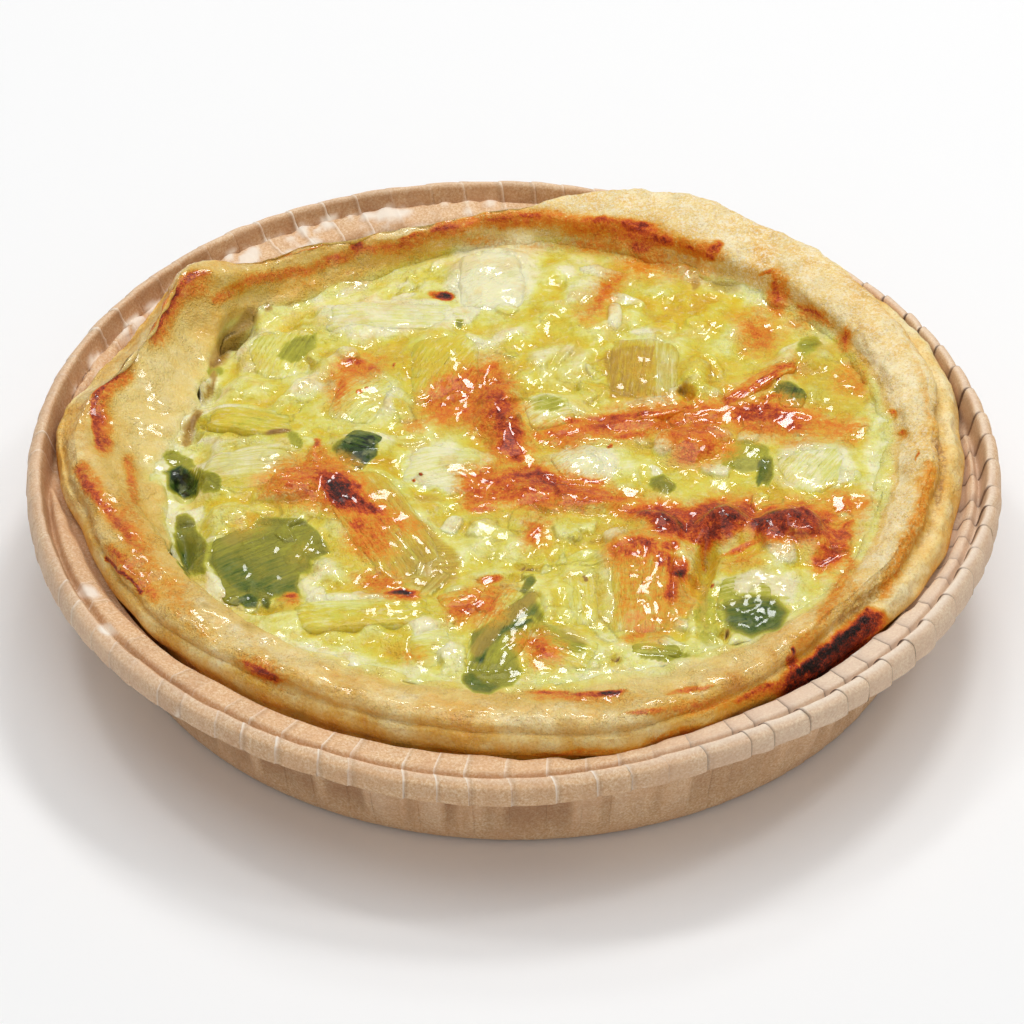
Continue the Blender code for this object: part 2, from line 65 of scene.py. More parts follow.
# Paper tray
PAPER = 0.6
BASE_RADIUS = 53.9
WALL_TOP_RADIUS = 57.2
WALL_TOP = 15.2
LEDGE_RADIUS = 61.6
LEDGE_HEIGHT = 16.2
RIM_RADIUS = 64.9
RIM_HEIGHT = 20.9
LIP_BOTTOM = 16.5
RIM_OFFSET = (-0.6, 0.1)
PLEAT_STEP = 4.3
PLEAT_DEPTH = 0.34
PLEAT_SAMPLES = 12                      # points across each pleat
CREASES = (2.7, 16.8, 25.8, 29.0, 33.7, 82.7, 90.8, 95.9, 114.5, 119.0, 123.7, 127.9, 153.5, 159.8, 179.2,
           242.2, 247.4, 251.0, 257.3, 261.0, 264.5, 269.2, 274.1, 278.7, 282.6, 286.8, 296.8, 299.7,
           310.2, 313.6, 317.6, 322.1, 326.3, 336.8, 349.0, 352.7)
RIM_DENT = ((20, -0.1), (60, -1.0), (85, -0.4), (100, 0.0), (130, 0.5), (155, 0.1), (180, -0.3), (215, 0.0),
            (270, 0.0), (310, -0.2), (332, 0.0), (350, 0.5))
RIM_SAG = ((20, 0.0), (60, -0.7), (95, 0.0), (180, 0.0), (240, 0.0), (268, -0.9), (294, 0.5), (320, 0.0))

TRAY_STEPS = (1, 2, 4, 5, 4, 2, 3, 6, 4, 4, 4, 6, 4, 5, 3, 4, 2)       # rows after each point of its section
TRAY_INNER_START = 11                   # the point from which its section faces in
PLEATED_SIDE = (353, 78, 30)            # middle, half width and soft edge in degrees, here and below
LOW_RIM_SIDE = (262, 75, 35)
CRUMPLED_SIDE = (128, 45, 20)

# Pastry crust
CRUST_STATIONS = 760
CRUST_FOOT = ((5, 59.7), (15, 60.9), (30, 61.2), (45, 61.1), (60, 61.0), (67, 61.4), (75, 60.2), (82, 58.6),
              (88, 55.8), (97, 54.6), (107, 54.0), (125, 55.3), (132, 56.6), (141, 60.0), (150, 59.4),
              (157, 58.6), (165, 59.6), (172, 61.0), (180, 60.7), (190, 58.7), (200, 57.7), (215, 57.3),
              (230, 56.5), (245, 55.8), (260, 56.2), (275, 57.2), (282, 58.0), (292, 56.8), (305, 56.3),
              (320, 56.4), (335, 58.0), (350, 58.8))
CRUST_INSET = ((0, 1.0), (45, 0.8), (78, 0.8), (90, 1.5), (110, 1.8), (128, 1.6), (141, 1.5), (150, 3.0),
               (158, 3.6), (166, 3.0), (176, 1.6), (195, 0.7), (240, 0.6), (300, 0.7), (330, 1.0))
CRUST_EDGE = ((0, 53.0), (30, 53.4), (50, 52.2), (66, 51.6), (78, 52.0), (88, 52.2), (98, 51.0), (109, 50.4),
              (125, 52.2), (136, 53.6), (145, 56.4), (155, 54.4), (167, 55.4), (175, 56.6), (186, 54.0),
              (198, 51.0), (212, 50.2), (239, 50.2), (262, 50.8), (285, 52.0), (300, 51.2), (320, 51.4),
              (340, 52.4))
CRUST_TOP = ((0, 23.3), (30, 23.7), (58, 24.1), (66, 24.5), (80, 23.6), (100, 22.8), (120, 22.7), (132, 23.3),
             (141, 25.3), (150, 23.8), (165, 22.8), (185, 22.4), (215, 22.1), (245, 22.2), (270, 22.3),
             (300, 22.3), (330, 22.8))
LAYER_STEP = ((25, 1.6), (45, 0.4), (70, 0.0), (300, 0.0), (322, 1.4), (350, 2.2))
FOOT_LIFT = ((0, 0.0), (15, 0.6), (32, 1.8), (60, 1.6), (85, 0.3), (100, 0.0), (200, 0.0), (330, 0.0))
CASE_FLOOR = 4.6
CRUST_STEPS = (2, 2, 3, 6, 10, 10, 10, 8, 10, 14, 12, 10, 3, 1)       # rows after each point of its section
FLAKY_SIDE = (30, 95, 50)
CRUST_CREST = 24.7                      # the flap's top is eased to stay under 0.5 above this

# Custard filling
FILL_EDGE = ((0, 48.4), (15, 50.0), (35, 50.2), (60, 48.8), (75, 50.2), (100, 49.8), (118, 47.9), (136, 49.5),
             (147, 48.2), (160, 45.4), (175, 46.0), (190, 46.8), (207, 47.8), (222, 49.4), (240, 46.8),
             (262, 47.2), (291, 46.6), (310, 48.0), (335, 49.0), (348, 47.6))
FILL_LEVEL = ((0, 20.0), (40, 19.5), (75, 19.0), (100, 18.2), (125, 17.0), (150, 16.7), (175, 16.9), (195, 17.3),
              (215, 18.2), (235, 19.6), (260, 20.3), (300, 20.4), (330, 20.2))
FILL_MIDDLE = 19.9
FILL_UNDERSIDE = 12.0
SKIRT_DEPTH = 4.5                       # of the closed body below the surface's edge
SKIRT_LEAN = 0.96
LOW_CLIMB_SIDE = (-20, 80, 30)          # where the custard climbs the pastry less
EDGE_NOISE_RADIUS = 48.0
FILL_CELLS = 300                        # cells of the custard's surface each way
SHARD_COUNT = 190
SHARD_REACH = 47.0
MOUNDS = ((18.6, -14.6, 4.6, 2.8, -40, 2.0), (27.3, -15.6, 5.2, 4.4, 20, 2.6), (36.6, -17.6, 7.0, 5.8, -12, 3.0),
          (24.2, 2.6, 6.4, 5.0, 20, 2.2), (-1.6, 8.6, 4.2, 8.6, 12, 1.9), (-28.6, -6.2, 5.4, 4.2, 20, 1.8),
          (6.5, -9.0, 7.6, 3.4, -14, 1.5), (32.0, -24.6, 6.4, 4.6, 10, 1.2), (42.2, -25.2, 4.6, 3.0, 60, 1.3),
          (12.0, 31.0, 7.6, 6.4, 40, 1.0), (27.6, 28.4, 6.6, 7.2, 0, 1.0), (25.0, 15.0, 3.6, 6.6, 0, 0.8),
          (-37.6, 17.2, 4.6, 5.6, 60, 1.6), (-24.0, 21.0, 4.6, 4.0, 0, 1.2), (-37.4, -11.8, 5.2, 3.4, 20, 0.9),
          (1.4, -17.6, 8.0, 5.4, 10, 0.9), (32.4, 4.0, 5.0, 3.6, 10, 0.8), (38.6, 23.8, 3.6, 5.6, 30, 0.8))
HOLLOWS = ((-38.4, 31.2, 5.4, 2.4, 66, 3.0), (-41.8, 18.3, 2.8, 1.7, 80, 2.4), (-43.4, 9.2, 3.4, 1.9, 95, 2.4),
           (-43.4, -3.0, 2.6, 3.8, 0, 2.6), (-43.6, -17.8, 1.8, 4.8, -10, 1.6), (24.6, -23.4, 1.8, 8.6, -8, 2.4),
           (23.6, 13.6, 1.4, 2.2, 0, 2.4), (-33.0, -30.4, 4.0, 1.6, -24, 1.4), (26.4, -36.2, 2.0, 2.2, 0, 1.6),
           (2.0, -24.6, 3.4, 1.4, 20, 1.4))

# Larger pieces: name, x, y, half length, half width, turn, rise over the custard, thickness, slope along and
# across, squareness, crown; then the finish: green, browning, tone, the turn of the fibres and tan streaks
Piece = namedtuple("Piece", "name x y half_length half_width turn rise thickness slope_u slope_v square crown "
                            "green toast tone fibre_turn tan")
PIECE_ROWS = (
    ("leek_leaf_wide", -31.9, -21.2, 8.2, 7.9, 10, 0.35, 2.6, 0.02, 0.03, 3.2, 0.25, 0.60, 0.0, 0.0, 20,
     0.0),
    ("leek_strip_fibrous", -17.6, -14.6, 12.4, 5.4, -63, 1.3, 3.4, -0.05, 0.04, 3.4, 0.9, 0.0, 0.10, 0.5,
     0, 0.9),
    ("leek_square_ribbed", -9.5, -3.0, 5.7, 4.6, -11, 1.1, 3.0, 0.03, 0.06, 3.2, 0.8, 0.0, 0.0, -0.7, 20,
     0.0),
    ("leek_scrap_dark", -20.4, 2.1, 2.7, 2.3, -30, 1.5, 2.8, 0.10, -0.10, 3.0, 0.4, 0.84, 0.0, 0.0, 0,
     0.0),
    ("leek_slab_left", -35.0, -2.2, 6.2, 4.2, 4, 1.0, 2.8, 0.05, 0.05, 3.0, 0.8, 0.0, 0.04, -0.2, 0, 0.3),
    ("leek_slab_lime", -35.4, 8.9, 6.4, 3.1, -12, 1.4, 2.8, 0.05, -0.06, 3.2, 0.5, 0.14, 0.0, 0.5, 0,
     0.0),
    ("leek_slab_back", -17.6, 32.0, 9.2, 3.7, -2, 1.2, 2.8, 0.03, -0.08, 3.4, 0.6, 0.0, 0.0, -0.4, 0,
     0.0),
    ("onion_layer_back", -3.4, 40.2, 4.9, 6.9, 0, 1.4, 3.2, 0.02, 0.07, 3.4, 0.8, 0.0, 0.0, -1.1, 35,
     0.0),
    ("leek_wedge_peaked", -9.6, 19.2, 5.3, 7.4, 4, 1.4, 3.4, 0.05, 0.10, 2.4, 1.6, 0.10, 0.0, 0.6, 60,
     0.0),
    ("leek_square_striped", 17.4, 18.9, 5.3, 6.8, -4, 1.2, 3.2, 0.02, 0.03, 4.0, 0.7, 0.0, 0.08, 0.6, 90,
     1.0),
    ("onion_bit_middle", 4.6, 9.0, 3.4, 3.2, 10, 1.2, 2.8, 0.05, 0.05, 2.6, 0.7, 0.16, 0.0, -0.3, 20,
     0.0),
    ("strip_orange", 33.4, 15.8, 6.6, 1.5, 43, 1.2, 2.4, 0.04, 0.00, 3.6, 0.4, 0.0, 0.46, 0.0, 0, 0.0),
    ("leek_knot_dark", 37.5, 12.6, 2.6, 2.0, 80, 0.9, 2.4, 0.00, 0.00, 2.4, 0.5, 0.84, 0.0, 0.0, 0, 0.0),
    ("leek_shred_grey", 19.9, 9.4, 3.8, 1.1, 20, 1.0, 2.2, 0.00, 0.00, 2.8, 0.4, 0.10, 0.0, -1.2, 0, 0.0),
    ("leek_block_browned", 16.3, -28.6, 4.4, 9.6, -4, 1.5, 3.8, 0.04, 0.09, 3.4, 1.0, 0.0, 0.20, 0.5, 90,
     0.6),
    ("leek_leaf_dark_right", 29.2, -30.6, 3.9, 5.2, -10, 0.6, 2.8, 0.04, 0.06, 2.8, 0.6, 0.30, 0.0, 0.0,
     20, 0.0),
    ("leek_leaf_curled", -1.5, -37.4, 9.0, 3.9, 67, 1.6, 3.6, 0.05, 0.00, 2.6, 1.2, 0.22, 0.0, 0.0, 0,
     0.0),
    ("leek_slab_yellow", -19.6, -33.6, 8.6, 3.1, 2, 1.2, 2.8, 0.03, 0.04, 3.2, 0.5, 0.0, 0.0, 0.2, 0,
     0.0),
    ("leek_bit_orange", -7.2, -30.4, 3.0, 1.9, 14, 1.1, 2.2, 0.00, 0.00, 2.6, 0.6, 0.0, 0.38, 0.3, 0,
     0.0),
    ("leek_chunk_pale_left", -10.6, -40.0, 3.1, 4.1, 8, 1.1, 2.8, 0.00, 0.05, 2.6, 0.9, 0.0, 0.0, -0.2, 0,
     0.0),
    ("leek_chunk_pale_right", 8.5, -30.6, 2.8, 5.4, 5, 1.1, 3.2, 0.00, 0.06, 2.8, 1.0, 0.0, 0.0, -0.1, 90,
     0.0),
    ("leek_chunk_toasted", 6.0, -41.0, 4.8, 3.5, -20, 1.1, 3.2, 0.00, 0.05, 2.6, 1.1, 0.04, 0.10, 0.3, 0,
     0.0),
    ("leek_shred_front", 17.8, -40.9, 3.3, 1.2, -4, 0.8, 2.0, 0.00, 0.00, 2.8, 0.3, 0.40, 0.0, -0.6, 0,
     0.0),
    ("leek_layer_right", 40.3, -3.0, 5.6, 4.9, 20, 0.9, 2.8, -0.03, 0.03, 2.8, 0.7, 0.10, 0.0, -0.4, 40,
     0.0),
    ("leek_bit_pale_middle", 8.6, -1.6, 3.8, 3.4, 20, 1.2, 2.8, 0.00, 0.05, 2.8, 0.8, 0.0, 0.0, -0.8, 20,
     0.0),
    ("leek_wedge_left", -31.6, 24.6, 5.2, 5.4, 20, 1.1, 2.8, 0.03, 0.06, 2.6, 0.8, 0.10, 0.0, 0.1, 50,
     0.0),
    ("leek_wedge_middle", -20.8, 12.0, 4.4, 5.4, -14, 1.2, 3.0, 0.03, 0.05, 2.6, 0.9, 0.0, 0.04, -0.2, 60,
     0.0))
PIECES = [Piece(*row) for row in PIECE_ROWS]
PIECE_SIDES = 12                        # corners of a piece's outline
PIECE_POINTS = 160                      # points round a finished piece
SIDE_RINGS = 4
TOP_RINGS = 36


def ring_curve(knots, degrees):
    """Read a smooth closed curve through (degrees, value) knots at the given angles."""
    knots = sorted(knots)
    angle = np.array([knot[0] for knot in knots], float)
    value = np.array([knot[1] for knot in knots], float)
    angle = np.concatenate([angle - 360, angle, angle + 360])
    value = np.tile(value, 3)
    slope = np.gradient(value, angle)
    at = np.mod(degrees, 360)
    low = np.searchsorted(angle, at, side="right") - 1
    width = angle[low + 1] - angle[low]
    t = (at - angle[low]) / width
    rise = (3 - 2 * t) * t * t
    return (value[low] * (1 - rise) + value[low + 1] * rise
            + slope[low] * width * t * (1 - t) ** 2 - slope[low + 1] * width * t * t * (1 - t))


def soft_step(low, high, x):
    """Ease from 0 at low to 1 at high."""
    t = np.clip((x - low) / (high - low), 0, 1)
    return t * t * (3 - 2 * t)


def side_share(degrees, middle, half_width, softness):
    """How much of each angle belongs to a side: 1 well inside it, none at half_width from its middle."""
    return soft_step(0, softness, half_width - np.abs((degrees - middle + 180) % 360 - 180))


def compass(degrees):
    """Directions in plan at these angles, as points on a circle of radius 1."""
    angle = np.radians(degrees)
    return np.stack([np.cos(angle), np.sin(angle), 0 * angle], -1)


def span(u, v, square):
    """Distance from the middle, measured so that a rounded rectangle of this squareness lies at 1."""
    return (np.abs(u) ** square + np.abs(v) ** square) ** (1 / square)


def turned(x, y, degrees):
    """Turn plan coordinates clockwise, into the frame of a piece that lies at this angle."""
    angle = np.radians(degrees)
    return x * np.cos(angle) + y * np.sin(angle), y * np.cos(angle) - x * np.sin(angle)


def lattice(ix, iy, iz, seed):
    """A fixed random number from -1 to 1 for every whole lattice point."""
    h = (ix * 374761393 + iy * 668265263 + iz * 1442695041 + seed * 97531) & 0xFFFFFFFF
    h = ((h ^ (h >> 13)) * 1274126177) & 0xFFFFFFFF
    h = ((h ^ (h >> 15)) * 2246822519) & 0xFFFFFFFF
    return ((h ^ (h >> 16)) & 0xFFFF) / 32767.5 - 1


def noise(points, size, seed):
    """Smooth random lumps from about -1 to 1 at points; size is the usual distance between two lumps."""
    p = np.asarray(points, float) / size
    cell = np.floor(p).astype(np.int64)
    t = p - cell
    t = t * t * t * (t * (6 * t - 15) + 10)
    total = 0
    for corner in range(8):
        step = np.array([corner & 1, corner >> 1 & 1, corner >> 2])
        weight = np.prod(np.where(step, t, 1 - t), axis=-1)
        ix, iy, iz = np.moveaxis(cell + step, -1, 0)
        total = total + weight * lattice(ix, iy, iz, seed)
    return total


def layered(points, size, seed, layers=3, fade=0.5):
    """Noise with finer and fainter layers over it."""
    total, strength = 0, 1.0
    for layer in range(layers):
        total = total + strength * noise(points, size / 2.03 ** layer, seed + layer)
        strength *= fade
    return total


def view_axes():
    """The camera's place, and its backward and upward directions, in millimetres."""
    angle = np.radians(VIEW_ELEVATION)
    back = np.array([0, -np.cos(angle), np.sin(angle)])
    up = np.array([0, np.sin(angle), np.cos(angle)])
    return np.array(VIEW_TARGET) + VIEW_DISTANCE * back, back, up


def photo_pixel(points):
    """Where points of the quiche lie in the photograph, in its pixels."""
    eye, back, up = view_axes()
    sight = np.asarray(points, float) - eye
    reach = -(sight @ back)
    focal = VIEW_LENS / SENSOR_WIDTH * PHOTO_WIDTH
    half = PHOTO_WIDTH / 2
    return half + focal * sight[..., 0] / reach, half - focal * (sight @ up) / reach


def crease_angles():
    """Angles of all creases: those that stand out, and evenly spaced ones in the gaps between them."""
    rng = np.random.default_rng(11)
    angles = []
    for start, end in zip(CREASES, CREASES[1:] + (CREASES[0] + 360,)):
        count = max(1, round((end - start) / PLEAT_STEP))
        inner = start + (end - start) * np.arange(count) / count
        inner[1:] += rng.uniform(-0.5, 0.5, count - 1)
        angles.extend(inner)
    return np.array(angles)


def tray_middle():
    """Middle of the tray's box, which the finished model has over its origin."""
    creases = crease_angles()
    widths = np.diff(np.append(creases, creases[0] + 360))
    angles = np.stack([creases + 0.08 * widths, creases + 0.92 * widths], 1).ravel()
    r = RIM_RADIUS + np.tile([-0.5, 0.5], len(creases)) * PLEAT_DEPTH + ring_curve(RIM_DENT, angles)
    x = r * np.cos(np.radians(angles)) + RIM_OFFSET[0]
    y = r * np.sin(np.radians(angles)) + RIM_OFFSET[1]
    return np.array([(x.min() + x.max()) / 2, (y.min() + y.max()) / 2, 0])


MIDDLE = tray_middle()


def crust_lumps(degrees, height):
    """Gentle unevenness of hand-pressed pastry round the rim, in millimetres."""
    a = np.radians(degrees)
    return 0.16 * np.sin(9 * a + 0.7 * height) + 0.13 * np.sin(23 * a + 2.0) + 0.10 * np.sin(37 * a - height)


def crust_rings(degrees):
    """Section of the pastry case at each angle, as (radius, height) pairs from its underside to its floor."""
    foot = ring_curve(CRUST_FOOT, degrees) + crust_lumps(degrees, 0)
    lift = ring_curve(FOOT_LIFT, degrees)
    ridge = foot - ring_curve(CRUST_INSET, degrees)
    edge = ring_curve(CRUST_EDGE, degrees)
    top = ring_curve(CRUST_TOP, degrees) + crust_lumps(degrees, 2)
    step = np.clip(ring_curve(LAYER_STEP, degrees), 0, None)
    fill = ring_curve(FILL_EDGE, degrees)
    level = ring_curve(FILL_LEVEL, degrees)
    ledge = LEDGE_HEIGHT + 0.95
    wall = np.minimum(WALL_TOP_RADIUS - 0.75, foot - 0.3)
    side = np.maximum(foot - 0.5, wall + 0.1)
    even = np.ones_like(foot)
    crest = ridge - step - 0.30 * (ridge - step - edge)
    return ((BASE_RADIUS - PAPER - 0.7) * even, (PAPER + 0.5) * even), \
           (wall, (WALL_TOP - 0.6) * even), \
           (wall + 0.1, (LEDGE_HEIGHT + 0.5) * even), \
           (side, ledge + lift), \
           (foot, ledge + 0.9 + lift), \
           (foot + 0.1 - 0.4 * step, 0.5 * (ledge + lift + top) + 0.2), \
           (foot - 0.3 - step, 0.4 * (ledge + lift) + 0.6 * top), \
           (ridge + 0.35 - step, top - 1.0), \
           (ridge - 0.35 - step, top - 0.25), \
           (crest, top), \
           (edge, top - 0.7), \
           (0.55 * edge + 0.45 * fill, 0.42 * (top - 0.7) + 0.58 * level), \
           (fill + 0.15, level - 0.2), \
           (fill - 0.6, level - 4.5), \
           (fill - 5.5, CASE_FLOOR * even)


def bump_height(x, y, feature):
    """Height of a mound, or depth of a hollow, at plan points."""
    cx, cy, half_length, half_width, turn, height = feature
    u, v = turned(x - cx, y - cy, turn)
    return height * np.clip(1 - (u / half_length) ** 2 - (v / half_width) ** 2, 0, None) ** 1.4


def fill_share(x, y):
    """How far plan points lie from the custard's middle, where 1 is its edge."""
    return np.hypot(x, y) / ring_curve(FILL_EDGE, np.degrees(np.arctan2(y, x)))


def custard_height(x, y):
    """Height of the custard's top at plan points: level, mounds, hollows and a small unevenness."""
    share = fill_share(x, y)
    edge, calm = soft_step(0.62, 1.0, share), 1 - soft_step(0.90, 1.0, share)
    z = FILL_MIDDLE * (1 - edge) + ring_curve(FILL_LEVEL, np.degrees(np.arctan2(y, x))) * edge
    z = z + calm * sum(bump_height(x, y, mound) for mound in MOUNDS)
    z = z - sum(bump_height(x, y, hollow) for hollow in HOLLOWS)
    return z + calm * (0.22 * np.sin(0.61 * x + 1.3) * np.sin(0.53 * y) + 0.14 * np.sin(1.1 * x - 0.7 * y))


def hollowed(x, y):
    """How deep the hollows are at plan points."""
    return np.max([bump_height(x, y, hollow) for hollow in HOLLOWS], axis=0)


def piece_outline(piece):
    """Outline of a piece seen from above, as (degrees, reach) knots: an uneven rounded rectangle."""
    rng = np.random.default_rng(sum(map(ord, piece.name)))
    t = 2 * np.pi * (np.arange(PIECE_SIDES) + 0.5) / PIECE_SIDES
    reach = (1 - 0.09 * rng.random(PIECE_SIDES)) / span(np.cos(t), np.sin(t), piece.square)
    return list(zip(np.degrees(t), reach))


def piece_rest(piece):
    """Height of the middle of a piece's top."""
    return float(custard_height(np.array(piece.x), np.array(piece.y))) + piece.rise


def build_mesh(name, points, faces, attributes):
    """Make an object from points in millimetres, with named values kept on its points for the materials."""
    mesh = bpy.data.meshes.new(name)
    placed = (np.asarray(points, float) - MIDDLE) * METRES
    mesh.vertices.add(len(placed))
    mesh.vertices.foreach_set("co", placed.ravel())
    sizes = np.array([len(face) for face in faces])
    corners = np.concatenate(faces)
    mesh.loops.add(len(corners))
    mesh.loops.foreach_set("vertex_index", corners)
    mesh.polygons.add(len(sizes))
    mesh.polygons.foreach_set("loop_start", np.concatenate([[0], np.cumsum(sizes)[:-1]]))
    mesh.update(calc_edges=True)
    mesh.validate()
    for key, values in attributes.items():
        layer = mesh.attributes.new(key, "FLOAT", "POINT")
        layer.data.foreach_set("value", np.asarray(values, np.float32).ravel())
    mesh.shade_smooth()
    thing = bpy.data.objects.new(name, mesh)
    bpy.context.scene.collection.objects.link(thing)
    return thing


def ring_faces(rows, sides):
    """Faces of a body made of closed rings, with a first and a last point: quads, then the two fans."""
    j = np.arange(sides)
    k = (j + 1) % sides
    i = (1 + sides * np.arange(rows - 1))[:, None]
    quads = np.stack([i + j, i + k, i + k + sides, i + j + sides], -1).reshape(-1, 4)
    end = 1 + (rows - 1) * sides
    first = np.stack([np.zeros_like(j), 1 + k, 1 + j], -1)
    last = np.stack([end + j, end + k, np.full_like(j, end + sides)], -1)
    return list(quads) + list(first) + list(last)


def with_ends(values, first, last):
    """A ring grid's values as one list, with those of the first and the last point."""
    values = np.asarray(values, float)
    if values.ndim == 3:
        return np.concatenate([[first], values.reshape(-1, 3), [last]])
    return np.concatenate([[first], values.ravel(), [last]])


def smooth_rows(rows, counts):
    """Pass a smooth curve through rows of values, with the given number of steps after each row but the last."""
    rows = np.array(rows, float)
    before = np.concatenate([rows[:1], rows[:-1]])
    after = np.concatenate([rows[1:], rows[-1:]])
    slope = (after - before) / 2
    slope[0], slope[-1] = rows[1] - rows[0], rows[-1] - rows[-2]
    parts = []
    for i, count in enumerate(counts):
        t = (np.arange(count) / count).reshape(-1, *[1] * (rows.ndim - 1))
        rise = (3 - 2 * t) * t * t
        parts.append(rows[i] * (1 - rise) + rows[i + 1] * rise
                     + slope[i] * t * (1 - t) ** 2 - slope[i + 1] * t * t * (1 - t))
    return np.concatenate(parts + [rows[-1:]])


def grid_normals(grid):
    """Outward directions of a ring grid, whose rings run up the outside and down the inside."""
    along = np.gradient(grid, axis=0)
    around = (np.roll(grid, -1, axis=1) - np.roll(grid, 1, axis=1)) / 2
    normal = np.cross(around, along)
    return normal / np.maximum(np.linalg.norm(normal, axis=-1, keepdims=True), 1e-9)


# Marks on the food, by the photograph's pixels: across, down, half width, half height, turn counter-clockwise,
# strength. Browning runs from 0.2 amber over 0.45 orange, 0.6 red-brown and 0.85 dark brown to 1.0, burnt black.
# Soft browning fades out over its whole width
SOFT_TOAST = (
    (((215, 300), (245, 282), (300, 273), (335, 260), (357, 250), (400, 247), (440, 234)), 12, 0.42),
    (((885, 290), (914, 330), (930, 380), (934, 430)), 16, 0.27),
    (((930, 470), (915, 530), (882, 590)), 16, 0.36), (832, 656, 56, 22, 38, 0.84),
    (((440, 225), (500, 218), (560, 218), (620, 230), (680, 246), (712, 252)), 14, 0.44),
    (((192, 278), (182, 290), (168, 312), (156, 334)), 17, 0.44),
    (((126, 374), (106, 390), (98, 410), (104, 446)), 15, 0.46),
    (((82, 470), (98, 500), (122, 524), (140, 546)), 14, 0.44), (((128, 460), (134, 498)), 11, 0.44),
    (((112, 550), (130, 572), (152, 596)), 15, 0.44), (((128, 505), (150, 560), (180, 608)), 26, 0.28),
    (((820, 620), (852, 566), (842, 545)), 12, 0.36), (((780, 690), (830, 668), (872, 632)), 13, 0.62),
    (470, 395, 58, 24, 12, 0.44), (445, 415, 30, 20, 0, 0.38), (500, 400, 28, 26, 30, 0.50),
    (505, 438, 30, 38, 0, 0.58), (415, 425, 28, 13, 0, 0.34), (590, 430, 56, 18, 4, 0.44),
    (640, 420, 54, 17, 6, 0.48), (560, 440, 30, 17, 0, 0.42), (696, 440, 42, 36, 0, 0.42),
    (832, 432, 46, 15, 4, 0.36), (510, 488, 70, 28, 0, 0.42), (480, 495, 32, 24, 0, 0.40),
    (600, 496, 64, 14, 0, 0.42), (640, 512, 48, 17, -8, 0.48), (672, 524, 44, 24, 0, 0.50),
    (846, 502, 28, 16, 0, 0.44), (834, 550, 26, 38, -30, 0.44), (640, 556, 36, 30, 0, 0.36),
    (630, 612, 38, 28, 20, 0.22), (320, 490, 72, 34, -15, 0.44), (290, 482, 42, 26, 0, 0.42),
    (352, 502, 44, 28, -25, 0.50), (318, 455, 20, 16, 0, 0.44), (372, 540, 44, 36, -30, 0.42),
    (402, 522, 40, 20, -35, 0.38), (378, 580, 26, 13, 0, 0.40), (290, 601, 16, 9, 0, 0.38),
    (402, 596, 30, 8, 4, 0.52), (485, 592, 48, 18, 8, 0.36), (470, 606, 38, 15, 4, 0.44),
    (541, 648, 34, 17, -25, 0.44), (358, 368, 40, 22, 0, 0.38), (338, 388, 13, 26, -18, 0.38),
    (604, 292, 32, 11, 52, 0.40), (640, 370, 30, 30, 0, 0.20), (248, 520, 44, 26, 0, 0.22),
    (345, 548, 36, 36, 0, 0.20), (410, 655, 40, 17, 0, 0.28), (690, 268, 60, 28, 0, 0.30),
    (758, 336, 28, 32, 0, 0.40), (545, 246, 80, 14, 0, 0.24), (802, 320, 36, 26, 0, 0.30),
    (846, 380, 28, 32, 0, 0.34), (776, 300, 15, 32, 0, 0.48), (650, 262, 60, 30, 0, 0.38),
    (758, 383, 50, 11, 25, 0.42), (740, 560, 44, 18, 8, 0.32), (640, 634, 36, 10, 22, 0.38),
    (535, 533, 18, 18, 0, 0.42), (300, 555, 34, 36, 0, 0.14), (850, 440, 28, 12, 0, 0.30),
    (196, 286, 30, 22, 30, 0.42), (160, 330, 24, 34, -28, 0.38), (450, 230, 40, 13, 8, 0.46),
    (520, 222, 60, 14, 2, 0.46), (590, 230, 60, 16, -4, 0.44), (640, 236, 60, 22, -8, 0.52),
    (700, 252, 40, 15, -8, 0.46), (124, 520, 26, 46, 14, 0.34), (140, 560, 24, 50, 26, 0.36),
    (92, 484, 22, 16, -40, 0.42), (175, 590, 34, 40, 40, 0.28), (262, 670, 46, 22, -28, 0.42),
    (200, 630, 40, 18, -36, 0.26), (800, 300, 50, 34, -30, 0.20), (780, 292, 16, 34, 0, 0.46),
    (814, 314, 36, 12, -26, 0.46), (845, 340, 14, 20, 0, 0.44), (862, 385, 16, 30, 0, 0.34),
    (895, 412, 10, 8, 0, 0.34), (905, 434, 12, 8, 20, 0.32), (806, 640, 40, 16, 45, 0.34),
    (770, 690, 60, 14, 20, 0.44), (700, 706, 70, 16, 8, 0.40), (600, 700, 80, 12, 0, 0.30),
    (850, 590, 40, 40, 50, 0.26), (568, 696, 70, 9, -2, 0.44), (430, 750, 130, 7, -3, 0.34),
    (570, 754, 110, 7, 4, 0.40), (680, 734, 70, 9, 16, 0.42), (300, 285, 60, 14, 8, 0.26),
    (350, 275, 40, 20, 0, 0.24), (410, 255, 60, 16, 4, 0.26), (480, 240, 50, 14, 0, 0.30),
    (600, 245, 60, 16, -4, 0.40))

